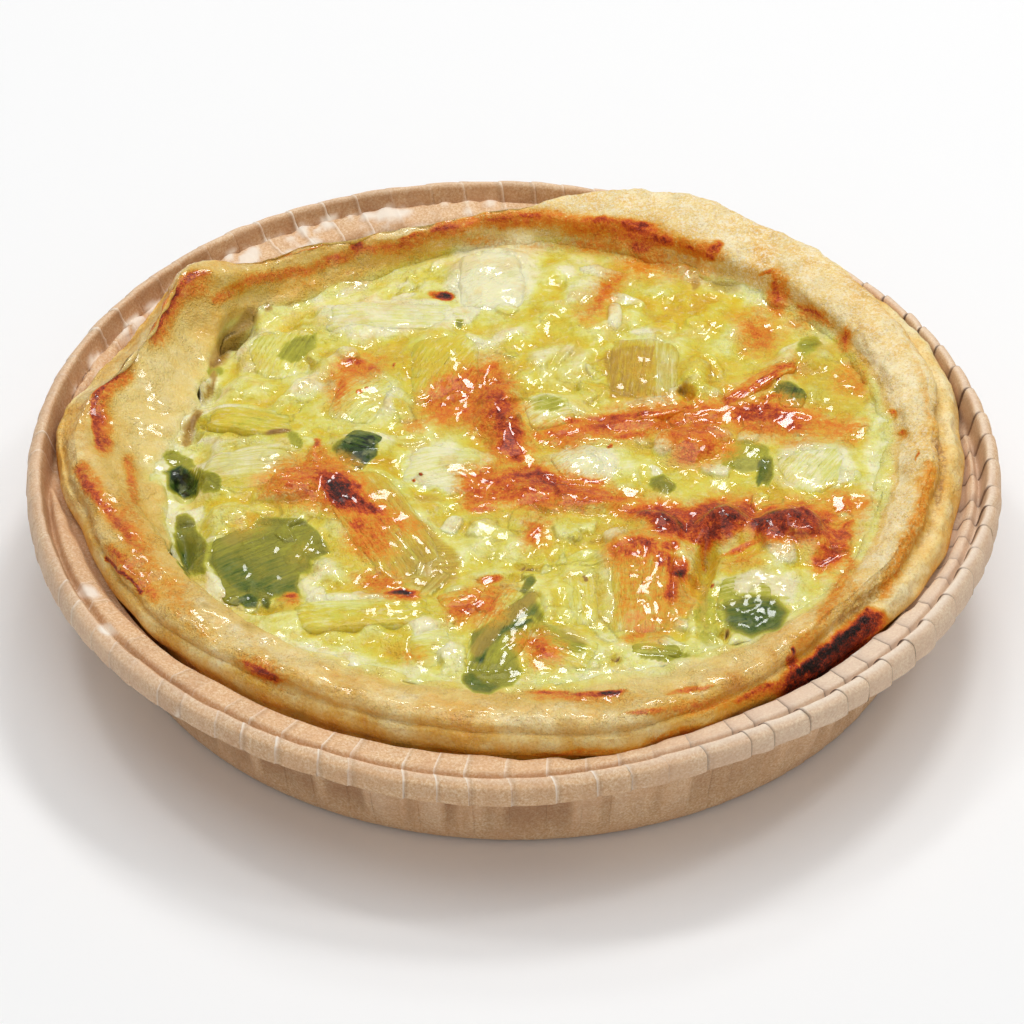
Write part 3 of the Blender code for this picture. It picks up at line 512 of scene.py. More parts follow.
# Hard browning has an edge
HARD_TOAST = (
    (((196, 272), (184, 282), (174, 294)), 5, 0.58), (((175, 292), (166, 308), (158, 324)), 6, 0.68),
    (((118, 375), (100, 388), (92, 400), (93, 425), (100, 446)), 5, 0.68),
    (((80, 472), (90, 490), (98, 502)), 6, 0.60), (((105, 558), (122, 572), (140, 592)), 2.5, 0.76),
    (((104, 506), (118, 522), (132, 540)), 6, 0.54),
    (((792, 686), (816, 668), (840, 650), (872, 622)), 17, 0.84), (((800, 672), (818, 658)), 8, 1.0),
    (((822, 652), (842, 640)), 10, 1.0), (((846, 636), (866, 620)), 7, 1.0),
    (((812, 680), (830, 668)), 4, 1.0),
    (((255, 262), (300, 252), (330, 243), (368, 228), (400, 219), (432, 209)), 1.2, 0.40),
    (487, 400, 14, 7, 35, 0.58), (497, 415, 16, 10, 0, 0.63), (512, 440, 16, 18, 10, 0.67),
    (516, 458, 12, 8, 0, 0.68), (500, 428, 18, 9, 0, 0.64), (610, 418, 34, 6, 4, 0.62),
    (600, 428, 30, 5, -4, 0.61), (645, 414, 26, 5, 10, 0.60), (630, 436, 26, 5, 8, 0.54),
    (560, 434, 20, 7, 0, 0.54), (575, 420, 14, 5, 0, 0.58), (698, 430, 20, 8, 8, 0.58),
    (700, 448, 24, 9, -4, 0.53), (690, 457, 22, 9, 0, 0.50), (760, 408, 26, 6, 0, 0.61),
    (745, 418, 22, 6, 0, 0.58), (785, 418, 20, 8, -12, 0.63), (794, 426, 14, 6, -12, 0.66),
    (770, 398, 18, 4, 4, 0.55), (520, 475, 34, 7, 8, 0.60), (540, 474, 16, 6, 0, 0.68),
    (500, 480, 24, 6, 0, 0.58), (550, 484, 18, 5, -10, 0.64), (530, 490, 40, 6, 0, 0.56),
    (580, 490, 34, 7, 0, 0.55), (590, 482, 20, 4, -8, 0.58), (600, 500, 50, 6, 0, 0.53),
    (480, 508, 20, 5, 0, 0.52), (648, 514, 22, 7, -20, 0.68), (661, 526, 14, 11, -30, 0.72),
    (682, 532, 18, 9, 0, 0.68), (692, 520, 12, 8, 0, 0.64), (700, 540, 14, 6, 0, 0.64),
    (716, 509, 16, 13, 30, 0.72), (730, 516, 20, 14, 0, 0.70), (712, 530, 16, 10, 0, 0.68),
    (744, 515, 12, 13, 0, 0.63), (780, 516, 34, 11, 8, 0.74), (762, 521, 16, 8, 10, 0.78),
    (800, 515, 18, 11, 0, 0.70), (776, 532, 28, 8, 10, 0.68), (815, 526, 16, 17, 0, 0.65),
    (840, 535, 12, 10, -30, 0.60), (830, 552, 14, 12, -30, 0.61), (822, 563, 10, 8, -30, 0.58),
    (642, 542, 26, 10, -10, 0.63), (630, 553, 16, 7, 0, 0.56), (680, 570, 12, 13, 0, 0.67),
    (681, 573, 7, 6, 0, 1.00), (672, 590, 10, 18, 0, 0.61), (662, 560, 14, 14, 0, 0.60),
    (670, 545, 12, 8, 0, 0.63), (704, 560, 4, 20, -10, 0.44), (740, 548, 30, 4, 20, 0.50),
    (335, 483, 18, 14, -20, 0.72), (338, 496, 22, 10, -30, 0.75), (360, 502, 20, 9, -25, 0.70),
    (374, 509, 14, 7, -25, 0.64), (317, 478, 8, 8, 0, 0.61), (310, 490, 12, 6, -20, 0.56),
    (317, 443, 5, 7, 0, 0.66), (358, 525, 14, 11, 0, 0.56), (290, 597, 9, 4, 0, 0.61),
    (402, 593, 19, 4, 4, 1.00), (470, 608, 30, 9, 4, 0.50), (490, 579, 18, 5, 6, 0.57),
    (541, 650, 16, 6, -25, 0.63), (355, 363, 14, 6, 10, 0.56), (374, 370, 14, 4, -18, 0.52),
    (340, 386, 7, 16, -18, 0.46), (358, 393, 4, 3, 0, 0.50), (366, 390, 4, 3, 0, 0.50),
    (604, 292, 26, 5, 52, 0.44), (444, 296, 13, 4, -4, 1.00), (432, 294, 7, 4, 0, 0.56),
    (756, 384, 42, 6, 25, 0.52), (609, 447, 4, 3, 30, 0.72), (712, 586, 3, 3, 0, 1.00),
    (780, 380, 2, 2, 0, 1.00), (395, 366, 2, 2, 0, 0.75), (422, 475, 2, 2, 0, 0.77),
    (417, 482, 2, 2, 0, 0.70), (706, 546, 7, 16, 0, 0.61), (195, 274, 22, 5, 4, 0.54),
    (174, 290, 10, 8, 40, 0.67), (165, 304, 6, 12, -28, 0.68), (155, 324, 6, 14, -28, 0.66),
    (240, 284, 18, 3, 24, 0.50), (300, 270, 40, 3, 6, 0.40), (335, 258, 16, 4, 16, 0.50),
    (357, 246, 12, 7, 0, 0.66), (395, 246, 34, 4, 6, 0.50), (410, 238, 20, 4, 18, 0.54),
    (446, 228, 22, 4, 12, 0.64), (500, 219, 34, 4, 6, 0.52), (530, 215, 20, 5, 4, 0.60),
    (600, 221, 22, 6, -4, 0.63), (636, 228, 30, 8, -12, 0.69), (645, 226, 12, 4, -8, 0.75),
    (662, 240, 22, 10, -16, 0.67), (640, 246, 20, 9, 0, 0.60), (714, 248, 9, 7, 30, 0.70),
    (710, 256, 6, 6, 0, 0.67), (690, 248, 22, 3, -6, 0.58), (94, 396, 7, 10, 10, 0.66),
    (97, 420, 7, 16, 0, 0.65), (107, 440, 10, 5, -30, 0.66), (115, 378, 14, 4, 16, 0.61),
    (88, 484, 11, 7, -40, 0.61), (127, 482, 6, 6, 0, 0.50), (118, 552, 12, 5, -40, 0.54),
    (262, 673, 24, 8, -28, 0.70), (270, 677, 14, 5, -24, 0.74), (250, 664, 12, 5, -30, 0.63),
    (776, 290, 5, 22, 6, 0.61), (770, 272, 12, 4, 10, 0.58), (812, 313, 26, 3, -26, 0.61),
    (846, 338, 6, 12, 0, 0.58), (893, 410, 4, 3, 0, 0.56), (903, 433, 6, 3, 20, 0.54),
    (918, 456, 2, 6, -15, 0.60), (590, 694, 44, 3, -2, 0.63), (610, 693, 20, 3, 8, 1.00),
    (545, 694, 26, 3, -4, 0.58), (806, 668, 12, 5, -24, 1.00), (792, 664, 8, 14, 0, 0.72),
    (794, 650, 2, 8, 10, 1.00), (866, 612, 8, 3, 60, 0.70), (760, 690, 40, 6, 22, 0.58),
    (650, 712, 34, 4, 6, 0.48), (690, 690, 30, 4, 10, 0.50))

# Painted shade and shadow in the dark, wet gaps and hollows and under pieces, to 1, black
SHADE = (
    (((478, 650), (500, 622), (534, 597)), 9, 0.34),
    (((252, 316), (238, 330), (226, 345), (216, 358)), 12, 0.46), (((222, 352), (214, 364)), 5, 0.62),
    (268, 308, 5, 7, 0, 0.45), (290, 304, 9, 3, 10, 0.36), (((214, 374), (209, 394)), 5, 0.50),
    (((197, 414), (191, 428)), 6, 0.58), (((191, 428), (187, 440)), 8, 0.50), (278, 433, 18, 4, 6, 0.62),
    (683, 391, 4, 6, 8, 1.00), (705, 548, 6, 22, -8, 0.50), (703, 600, 5, 40, 0, 0.30),
    (616, 661, 6, 3, 0, 0.80), (527, 569, 11, 2, -12, 0.60), (585, 580, 4, 3, 0, 0.62),
    (576, 636, 22, 7, -26, 0.30), (694, 284, 5, 10, 0, 0.50), (724, 288, 24, 8, -8, 0.34),
    (600, 541, 16, 4, 4, 0.34), (725, 634, 3, 6, -20, 0.84), (428, 499, 18, 5, 0, 0.30),
    (207, 606, 12, 3, -20, 0.34), (248, 627, 14, 5, -28, 0.28), (240, 536, 26, 10, 20, 0.24),
    (355, 285, 20, 12, 10, 0.22), (640, 252, 24, 8, 0, 0.30), (795, 322, 10, 8, 0, 0.30),
    (822, 340, 8, 16, 0, 0.24), (300, 288, 40, 8, 4, 0.10), (595, 232, 40, 8, 0, 0.26))

# How green the leek is, to 1, nearly black
GREEN = (
    (298, 348, 24, 13, 28, 0.44), (296, 440, 6, 9, 0, 0.46), (355, 449, 24, 15, 0, 0.95),
    (180, 461, 20, 9, -25, 0.50), (182, 482, 17, 15, -35, 0.98), (211, 482, 12, 12, 0, 0.58),
    (188, 545, 13, 34, 8, 0.70), (186, 562, 5, 14, 10, 0.92), (248, 600, 14, 7, 0, 0.82),
    (268, 602, 6, 5, 0, 0.74), (575, 372, 18, 28, 0, 0.22), (487, 372, 10, 10, 0, 0.34),
    (547, 403, 20, 8, 0, 0.40), (660, 484, 14, 8, 0, 0.60), (767, 470, 8, 18, 10, 0.66),
    (745, 455, 26, 13, 0, 0.36), (787, 393, 15, 12, 0, 0.92), (810, 352, 14, 18, 0, 0.42),
    (527, 584, 14, 5, 50, 0.76), (566, 640, 28, 10, -25, 0.44), (500, 630, 36, 12, 40, 0.66),
    (540, 612, 10, 14, 0, 0.55), (756, 620, 28, 12, 8, 0.84), (665, 656, 26, 4, 0, 0.66),
    (706, 620, 16, 36, 0, 0.24), (404, 577, 18, 8, -40, 0.30), (262, 556, 62, 40, 0, 0.62),
    (240, 425, 50, 12, 0, 0.12), (430, 350, 34, 34, 0, 0.12), (640, 480, 60, 16, 0, 0.10),
    (215, 371, 10, 7, 0, 0.40), (700, 365, 20, 30, 0, 0.14), (820, 462, 44, 26, 0, 0.14),
    (690, 650, 50, 10, 0, 0.16), (800, 300, 20, 20, 0, 0.10), (560, 575, 20, 10, 0, 0.12),
    (250, 370, 40, 26, 0, 0.06), (480, 320, 60, 16, 0, 0.06))

# Colour of the custard and of pale leek: -1 cream white, 0 pale lemon, 1 deep lemon yellow
TONE = (
    (430, 355, 32, 26, 0, 0.9), (335, 622, 60, 17, 0, 0.5), (412, 612, 32, 14, 0, 0.5),
    (690, 378, 20, 28, 0, 0.5), (690, 315, 46, 18, 0, 0.8), (400, 360, 20, 16, 0, 0.8),
    (520, 348, 16, 16, 0, 0.7), (560, 330, 40, 18, 0, 0.4), (400, 642, 30, 18, 0, 0.7),
    (540, 302, 46, 18, 0, 0.4), (740, 562, 22, 14, 0, 0.6), (710, 590, 16, 34, 0, 0.5),
    (385, 470, 16, 14, 0, 0.7), (425, 498, 28, 9, 0, 0.8), (545, 562, 20, 10, 0, 0.5),
    (600, 540, 30, 10, 0, 0.5), (852, 470, 14, 26, 0, 0.5), (790, 492, 44, 6, 0, 0.8),
    (625, 368, 20, 26, 0, 0.9), (240, 424, 46, 9, 0, 0.6), (250, 480, 40, 16, 0, 0.3),
    (330, 300, 40, 14, 0, 0.3), (410, 260, 40, 16, 0, 0.5), (560, 270, 14, 24, 0, 0.4),
    (390, 308, 72, 13, 0, -0.6), (495, 270, 34, 34, 0, -1.1), (440, 276, 40, 14, 0, -0.5),
    (360, 334, 28, 13, 0, -0.6), (385, 412, 32, 26, 0, -0.3), (310, 382, 20, 12, 0, -0.9),
    (430, 466, 34, 22, 0, -0.8), (590, 462, 32, 16, 0, -0.9), (500, 340, 32, 10, 20, -0.9),
    (580, 286, 30, 26, 0, -0.4), (650, 330, 60, 10, 0, -0.6), (632, 405, 28, 7, 0, -0.6),
    (550, 412, 30, 9, 0, -0.9), (760, 438, 40, 7, 0, -0.5), (820, 465, 44, 24, 0, -0.6),
    (470, 548, 40, 20, 0, -0.4), (505, 562, 34, 18, 0, 0.1), (572, 604, 34, 26, 0, 0.3),
    (424, 628, 20, 14, 0, -0.7), (450, 656, 24, 16, 0, -0.3), (328, 570, 22, 15, 0, -0.3),
    (250, 458, 50, 12, 0, -0.5), (300, 652, 60, 11, -10, -0.6), (680, 675, 70, 13, 8, -0.5),
    (746, 636, 12, 14, 0, -0.5), (360, 602, 34, 8, 0, -0.4), (768, 588, 34, 13, 0, -0.8),
    (655, 400, 24, 7, 8, -1.4), (170, 400, 40, 70, 10, -0.7), (250, 350, 20, 20, 0, -0.2),
    (185, 520, 16, 20, 0, -0.8), (530, 640, 20, 6, -26, -0.9))

# Crumbly, open layers of the pastry
CRUMB = (
    (((846, 622), (872, 592), (893, 566), (905, 545)), 7, 0.9),
    (((938, 500), (943, 470), (940, 440)), 4, 0.8), (((920, 545), (938, 505)), 4, 0.4),
    (((848, 312), (858, 324), (868, 348)), 3, 0.4), (((930, 385), (938, 405), (945, 430)), 3, 0.5),
    (((60, 430), (72, 460), (78, 500), (90, 530)), 4, 0.35))

# Pale scuffs and dried custard on the paper
TRAY_MARKS = (
    (90, 592, 12, 9, -30, 0.9), (108, 630, 12, 5, -25, 0.9), (640, 795, 3, 9, -25, 0.6),
    (725, 790, 12, 10, 0, 0.35), (178, 716, 3, 9, 0, 0.5), (850, 655, 14, 4, 20, 0.6))

# Pieces, chunks and stains as outlines in the photograph's pixels: green, tone, tan streaks, height in
# millimetres over the custard, softness of the edge in pixels, and the outline
AREAS = (
    (0.63, 0.0, 0.0, 0.0, 1.5, ((262, 518), (300, 518), (316, 530), (331, 552), (310, 560), (303, 574),
     (318, 580), (314, 600), (285, 598), (262, 600), (240, 590), (222, 578), (207, 560), (214, 551),
     (240, 533))),
    (0.54, 0.2, 0.0, 0.0, 10.0, ((262, 522), (300, 520), (326, 548), (306, 562), (272, 556), (244, 548))),
    (0.76, 0.0, 0.0, 0.0, 7.0, ((216, 562), (236, 560), (262, 578), (300, 584), (292, 596), (246, 592),
     (224, 578))),
    (0.0, -0.5, 0.0, 0.5, 3.0, ((300, 574), (316, 574), (326, 590), (318, 604), (302, 600), (296, 586))),
    (0.0, -0.8, 0.0, 0.3, 3.0, ((206, 572), (216, 576), (228, 592), (240, 604), (226, 606), (208, 592))),
    (0.0, 0.3, 0.9, 0.0, 4.0, ((318, 468), (345, 468), (372, 478), (402, 500), (432, 530), (462, 560),
     (456, 580), (430, 594), (405, 582), (376, 562), (350, 536), (330, 512), (308, 485))),
    (0.05, 0.45, 0.0, 0.0, 6.0, ((276, 598), (303, 602), (330, 610), (372, 602), (430, 596), (445, 602),
     (440, 618), (415, 640), (380, 640), (330, 634), (290, 624))),
    (0.0, -0.7, 0.0, 0.0, 2.0, ((398, 455), (415, 444), (444, 442), (463, 456), (458, 480), (430, 492),
     (404, 486))),
    (0.16, 0.6, 0.0, 0.0, 2.0, ((196, 420), (215, 408), (262, 412), (302, 424), (292, 438), (240, 436),
     (200, 438))),
    (0.0, -0.5, 0.25, 0.0, 2.0, ((205, 441), (250, 438), (300, 450), (297, 470), (240, 478), (198, 470))),
    (0.0, -0.5, 0.0, 0.0, 8.0, ((312, 300), (345, 291), (400, 294), (466, 300), (468, 332), (400, 338),
     (316, 326))),
    (0.0, -0.7, 0.0, 0.0, 3.0, ((322, 303), (345, 297), (400, 300), (456, 305), (457, 326), (400, 331),
     (326, 320))),
    (0.0, -0.9, 0.0, 0.0, 9.0, ((450, 262), (472, 246), (534, 232), (544, 268), (530, 304), (500, 314),
     (446, 308))),
    (0.0, -1.2, 0.0, 0.0, 5.0, ((474, 252), (522, 240), (526, 285), (505, 304), (466, 296), (456, 284))),
    (0.12, 0.6, 0.0, 0.0, 2.5, ((428, 334), (440, 326), (458, 336), (474, 352), (464, 382), (442, 390),
     (412, 372))),
    (0.0, 1.3, 1.0, 0.0, 3.0, ((604, 352), (630, 346), (654, 346), (656, 396), (612, 400))),
    (0.0, -0.6, 0.2, 0.2, 2.0, ((656, 348), (676, 352), (680, 394), (658, 396))),
    (0.0, 0.2, 0.55, 0.0, 4.0, ((602, 542), (640, 527), (668, 540), (688, 560), (690, 600), (664, 636),
     (628, 642), (614, 600))),
    (0.04, 0.0, 0.3, 0.4, 5.0, ((594, 552), (612, 548), (620, 575), (624, 604), (616, 630), (598, 620))),
    (0.76, -0.4, 0.0, 0.0, 6.0, ((722, 604), (744, 592), (776, 598), (788, 612), (780, 628), (752, 638),
     (728, 628))),
    (0.88, 0.0, 0.0, 0.0, 5.0, ((740, 614), (764, 606), (784, 612), (776, 626), (754, 634), (742, 628))),
    (0.34, -1.0, 0.0, 0.0, 6.0, ((714, 584), (752, 574), (798, 584), (790, 600), (758, 596), (730, 600))),
    (0.66, 0.0, 0.0, 0.0, 1.5, ((473, 632), (500, 614), (533, 588), (543, 600), (548, 614), (520, 618),
     (496, 634), (480, 660), (470, 652))),
    (0.50, 0.4, 0.0, 0.3, 4.0, ((464, 664), (472, 646), (486, 634), (505, 624), (530, 622), (526, 642),
     (518, 656), (524, 672), (512, 686), (488, 692), (470, 686))),
    (0.84, 0.0, 0.0, 0.0, 2.5, ((474, 662), (480, 642), (497, 627), (532, 618), (534, 624), (503, 633),
     (489, 646), (484, 663))),
    (0.46, -0.6, 0.0, 0.2, 3.0, ((534, 624), (560, 626), (578, 648), (556, 646), (536, 636))),
    (0.76, 0.0, 0.0, 0.0, 3.0, ((463, 668), (471, 672), (484, 682), (500, 686), (490, 694), (472, 692),
     (462, 682))),
    (0.40, -0.9, 0.0, 0.2, 3.0, ((524, 626), (546, 622), (566, 634), (580, 652), (560, 650), (540, 640))),
    (0.94, 0.0, 0.0, 0.0, 1.5, ((334, 450), (350, 434), (375, 434), (377, 456), (362, 470), (338, 462))),
    (0.97, 0.0, 0.0, 0.0, 2.0, ((166, 470), (182, 466), (200, 480), (198, 496), (182, 500), (170, 488))),
    (0.55, -0.4, 0.0, 0.0, 3.0, ((196, 468), (216, 474), (220, 488), (204, 494))),
    (0.66, -0.6, 0.0, 0.0, 3.0, ((176, 516), (192, 520), (206, 545), (204, 575), (190, 572), (182, 545))),
    (0.80, 0.0, 0.0, 0.0, 1.5, ((238, 596), (256, 598), (258, 608), (244, 608))),
    (0.74, 0.0, 0.0, 0.0, 1.5, ((262, 600), (272, 602), (270, 610), (263, 608))),
    (0.42, 0.0, 0.0, 0.2, 2.5, ((276, 356), (300, 338), (318, 332), (314, 348), (292, 364))),
    (0.40, 0.0, 0.0, 0.0, 2.0, ((288, 430), (300, 432), (298, 448), (290, 446))),
    (0.50, 0.0, 0.0, 0.0, 1.5, ((454, 320), (462, 320), (460, 330), (455, 329))),
    (0.30, -0.6, 0.0, 0.4, 3.0, ((528, 398), (548, 392), (566, 402), (558, 412), (534, 412))),
    (0.58, 0.0, 0.0, 0.2, 2.0, ((650, 478), (664, 474), (676, 484), (668, 494), (652, 490))),
    (0.36, -0.4, 0.0, 0.4, 3.0, ((720, 445), (745, 438), (768, 446), (766, 468), (742, 474), (722, 464))),
    (0.80, 0.0, 0.0, 0.0, 1.5, ((757, 462), (764, 456), (770, 470), (760, 488), (756, 478))),
    (0.88, 0.0, 0.0, 0.0, 2.0, ((776, 388), (790, 382), (802, 390), (798, 404), (782, 406))),
    (0.44, 0.0, 0.0, 0.0, 3.0, ((800, 340), (816, 336), (822, 355), (812, 366), (802, 360))),
    (0.08, 0.6, 0.35, 0.2, 5.0, ((800, 360), (840, 335), (868, 360), (872, 400), (850, 418), (806, 410))),
    (0.10, -0.6, 0.0, 0.3, 4.0, ((776, 448), (806, 436), (846, 446), (860, 470), (840, 488), (790, 486))),
    (0.44, -1.0, 0.0, 0.0, 2.0, ((640, 652), (665, 651), (692, 656), (668, 661), (642, 658))),
    (0.74, 0.0, 0.0, 0.0, 1.5, ((518, 592), (534, 576), (537, 580), (524, 596))),
    (0.0, 0.5, 0.0, 0.5, 4.0, ((205, 505), (240, 498), (262, 512), (250, 532), (222, 545), (206, 535))),
    (0.0, -0.3, 0.0, 0.7, 4.0, ((310, 560), (330, 556), (346, 572), (344, 588), (318, 584))),
    (0.0, -0.5, 0.0, 0.7, 4.0, ((304, 598), (330, 592), (376, 592), (398, 600), (360, 606), (316, 606))),
    (0.0, -0.8, 0.0, 0.7, 4.0, ((408, 622), (424, 614), (442, 622), (438, 640), (414, 640))),
    (0.0, -0.3, 0.0, 0.7, 4.0, ((432, 650), (450, 640), (472, 650), (466, 672), (440, 672))),
    (0.0, 0.2, 0.0, 0.7, 5.0, ((534, 590), (556, 578), (590, 588), (592, 610), (572, 632), (546, 622))),
    (0.10, 0.9, 0.0, 0.6, 4.0, ((676, 362), (694, 350), (710, 362), (708, 392), (694, 408), (680, 394))),
    (0.0, -1.0, 0.0, 0.5, 3.0, ((562, 452), (590, 446), (620, 458), (618, 474), (590, 480), (564, 474))),
    (0.0, -0.6, 0.0, 0.5, 3.0, ((345, 324), (364, 320), (384, 332), (370, 346), (348, 344))),
    (0.0, -0.9, 0.0, 0.4, 3.0, ((292, 376), (318, 370), (330, 384), (312, 396), (292, 392))),
    (0.0, -0.2, 0.0, 0.5, 4.0, ((356, 392), (388, 386), (404, 402), (390, 424), (362, 418))),
    (0.0, 0.9, 0.0, 0.0, 4.0, ((636, 300), (700, 292), (742, 300), (720, 326), (660, 330))),
    (0.0, -0.5, 0.0, 0.4, 4.0, ((556, 268), (590, 258), (612, 270), (600, 300), (566, 304))),
    (0.0, -0.2, 0.2, 0.4, 4.0, ((524, 352), (560, 340), (596, 352), (590, 388), (548, 392))),
    (0.0, 0.1, 0.2, 0.3, 3.0, ((562, 546), (600, 528), (640, 522), (620, 540), (586, 548))),
    (0.0, -0.9, 0.3, 0.2, 3.0, ((720, 578), (752, 570), (800, 582), (792, 596), (740, 592))),
    (0.0, -1.2, 0.0, 0.2, 2.0, ((626, 403), (650, 396), (674, 400), (668, 408), (640, 410))))

# Browned places as outlines in the photograph's pixels: browning, softness of the edge, and the outline
BROWNED = (
    (0.44, 8, ((428, 392), (446, 374), (478, 362), (500, 358), (510, 378), (522, 410), (530, 452),
     (518, 468), (500, 460), (482, 436), (466, 424), (440, 420), (424, 412))),
    (0.60, 6, ((482, 392), (502, 386), (512, 402), (522, 430), (527, 456), (514, 464), (498, 448),
     (490, 422))),
    (0.44, 7, ((530, 430), (560, 426), (600, 418), (640, 404), (690, 400), (726, 400), (770, 398),
     (802, 406), (830, 420), (860, 424), (850, 432), (820, 430), (790, 438), (760, 434), (735, 428),
     (700, 438), (650, 434), (600, 438), (560, 446), (536, 444))),
    (0.57, 5, ((578, 424), (612, 414), (652, 408), (650, 418), (612, 426), (584, 432))),
    (0.58, 5, ((728, 408), (756, 402), (790, 408), (806, 420), (800, 430), (770, 424), (740, 422))),
    (0.44, 8, ((664, 426), (690, 420), (722, 428), (730, 448), (706, 462), (676, 456))),
    (0.48, 7, ((458, 474), (480, 464), (500, 470), (535, 460), (560, 470), (578, 482), (606, 486),
     (612, 500), (590, 508), (540, 510), (500, 505), (470, 506), (462, 490))),
    (0.62, 4, ((520, 476), (540, 466), (558, 474), (572, 484), (556, 494), (536, 490))),
    (0.60, 5, ((622, 506), (656, 500), (690, 508), (716, 498), (750, 500), (758, 514), (744, 532),
     (716, 544), (690, 542), (662, 534), (644, 524))),
    (0.70, 5, ((704, 508), (724, 500), (744, 506), (742, 526), (722, 536), (706, 526))),
    (0.68, 4, ((650, 512), (672, 510), (690, 524), (690, 538), (668, 532))),
    (0.52, 6, ((746, 522), (764, 506), (800, 502), (832, 512), (838, 530), (818, 544), (790, 544),
     (758, 540))),
    (0.70, 5, ((750, 520), (768, 506), (800, 505), (818, 516), (812, 530), (780, 534), (756, 534))),
    (0.42, 7, ((820, 502), (846, 492), (866, 502), (858, 515), (836, 516))),
    (0.55, 4, ((824, 532), (850, 520), (856, 536), (842, 560), (822, 574), (816, 560))),
    (0.48, 6, ((606, 546), (640, 530), (662, 540), (664, 556), (640, 560), (612, 562))),
    (0.20, 9, ((618, 560), (664, 556), (690, 566), (690, 600), (660, 636), (632, 636))),
    (0.58, 6, ((660, 552), (688, 562), (688, 582), (668, 588))),
    (0.42, 9, ((258, 482), (284, 462), (318, 454), (346, 464), (384, 498), (402, 520), (386, 532),
     (350, 512), (320, 506), (290, 500), (264, 494))),
    (0.72, 5, ((318, 470), (346, 472), (372, 500), (382, 514), (362, 516), (332, 506), (316, 490))),
    (0.80, 4, ((322, 476), (344, 480), (356, 500), (340, 504), (324, 492))),
    (0.40, 8, ((346, 522), (376, 520), (386, 540), (366, 552), (348, 542))),
    (0.40, 6, ((360, 578), (396, 574), (400, 590), (372, 592))),
    (0.42, 5, ((446, 606), (470, 596), (500, 594), (502, 612), (474, 620), (450, 618))),
    (0.46, 6, ((520, 640), (542, 634), (560, 646), (556, 662), (534, 660))),
    (0.42, 5, ((524, 524), (544, 522), (546, 544), (528, 546))),
    (0.38, 7, ((336, 366), (356, 358), (386, 366), (372, 376), (350, 380), (336, 402), (328, 392))),
    (0.50, 3, ((722, 398), (760, 376), (794, 360), (798, 368), (764, 388), (728, 406))),
    (0.34, 7, ((738, 318), (760, 314), (778, 332), (768, 352), (744, 346))),
    (0.42, 5, ((582, 316), (604, 284), (622, 270), (622, 284), (600, 312))))

# Small forms on the custard, by the photograph's pixels as above, with their height in millimetres
RELIEF = (
    (782, 518, 34, 15, 8, 0.9), (730, 515, 22, 14, 0, 0.6), (668, 520, 26, 13, -10, 0.5),
    (317, 452, 9, 12, 0, 1.3), (328, 570, 22, 16, 0, 0.8), (365, 605, 36, 9, 0, 0.6),
    (425, 628, 20, 15, 0, 0.6), (450, 656, 24, 17, 0, 0.7), (296, 488, 38, 20, -10, 0.6),
    (340, 495, 28, 15, -30, 0.7), (225, 515, 28, 24, 0, 0.6), (556, 600, 24, 22, 0, 0.6),
    (560, 556, 26, 15, 0, 0.4), (500, 546, 36, 16, 0, 0.5), (600, 440, 54, 7, 4, 0.5),
    (640, 420, 44, 6, 10, 0.5), (530, 480, 34, 10, 10, 0.5), (692, 380, 17, 26, 0, 0.6),
    (562, 270, 36, 14, 20, 0.5), (640, 326, 56, 6, 0, 0.4), (502, 337, 28, 6, 25, 0.5),
    (546, 404, 24, 8, 0, 0.5), (660, 486, 15, 8, 0, 0.4), (755, 458, 34, 14, 0, 0.4),
    (742, 590, 28, 12, 0, 0.5), (692, 622, 6, 34, -8, 0.6), (712, 612, 6, 32, 0, 0.6),
    (734, 642, 11, 15, 0, 0.6), (250, 386, 34, 16, 0, 0.5), (310, 386, 20, 12, 0, 0.5),
    (250, 352, 17, 16, 0, 0.5), (600, 505, 60, 5, 0, 0.4), (790, 412, 34, 5, -10, 0.4),
    (740, 405, 30, 5, 6, 0.4), (765, 558, 36, 14, 8, 0.4), (560, 300, 34, 8, 14, 0.3),
    (440, 268, 36, 10, 4, 0.4), (360, 335, 26, 10, 6, 0.4), (390, 372, 22, 10, 0, 0.4),
    (480, 505, 34, 7, 0, 0.4), (420, 430, 30, 9, 0, 0.4), (470, 580, 40, 8, 8, 0.4),
    (590, 345, 24, 26, 0, 0.4), (530, 372, 24, 22, 0, 0.4), (700, 300, 34, 12, -10, 0.4),
    (845, 460, 20, 24, 10, 0.4), (600, 640, 20, 16, 0, -0.5), (527, 569, 12, 5, -12, -0.8),
    (616, 662, 9, 6, 0, -1.6), (683, 393, 5, 9, 8, -1.8), (725, 636, 5, 9, -20, -1.2),
    (704, 560, 5, 26, -6, -1.0), (428, 499, 22, 5, 0, -0.4), (278, 436, 20, 4, 6, -0.6),
    (585, 580, 4, 4, 0, -0.5), (182, 486, 14, 11, -40, -1.4), (187, 556, 7, 24, 10, -0.8),
    (248, 603, 12, 5, 0, -0.7), (600, 541, 16, 4, 4, -0.4), (575, 634, 24, 7, -26, -0.6),
    (440, 395, 20, 12, 20, -0.3), (660, 445, 14, 16, 0, -0.3), (230, 490, 34, 6, 0, -0.4))


def edge_distance(across, down, path):
    """How far pixels lie from a line through points."""
    nearest = np.full(np.shape(across), np.inf)
    for (x0, y0), (x1, y1) in zip(path, path[1:]):
        dx, dy = x1 - x0, y1 - y0
        share = np.clip(((across - x0) * dx + (down - y0) * dy) / (dx * dx + dy * dy), 0, 1)
        nearest = np.minimum(nearest, np.hypot(across - x0 - share * dx, down - y0 - share * dy))
    return nearest


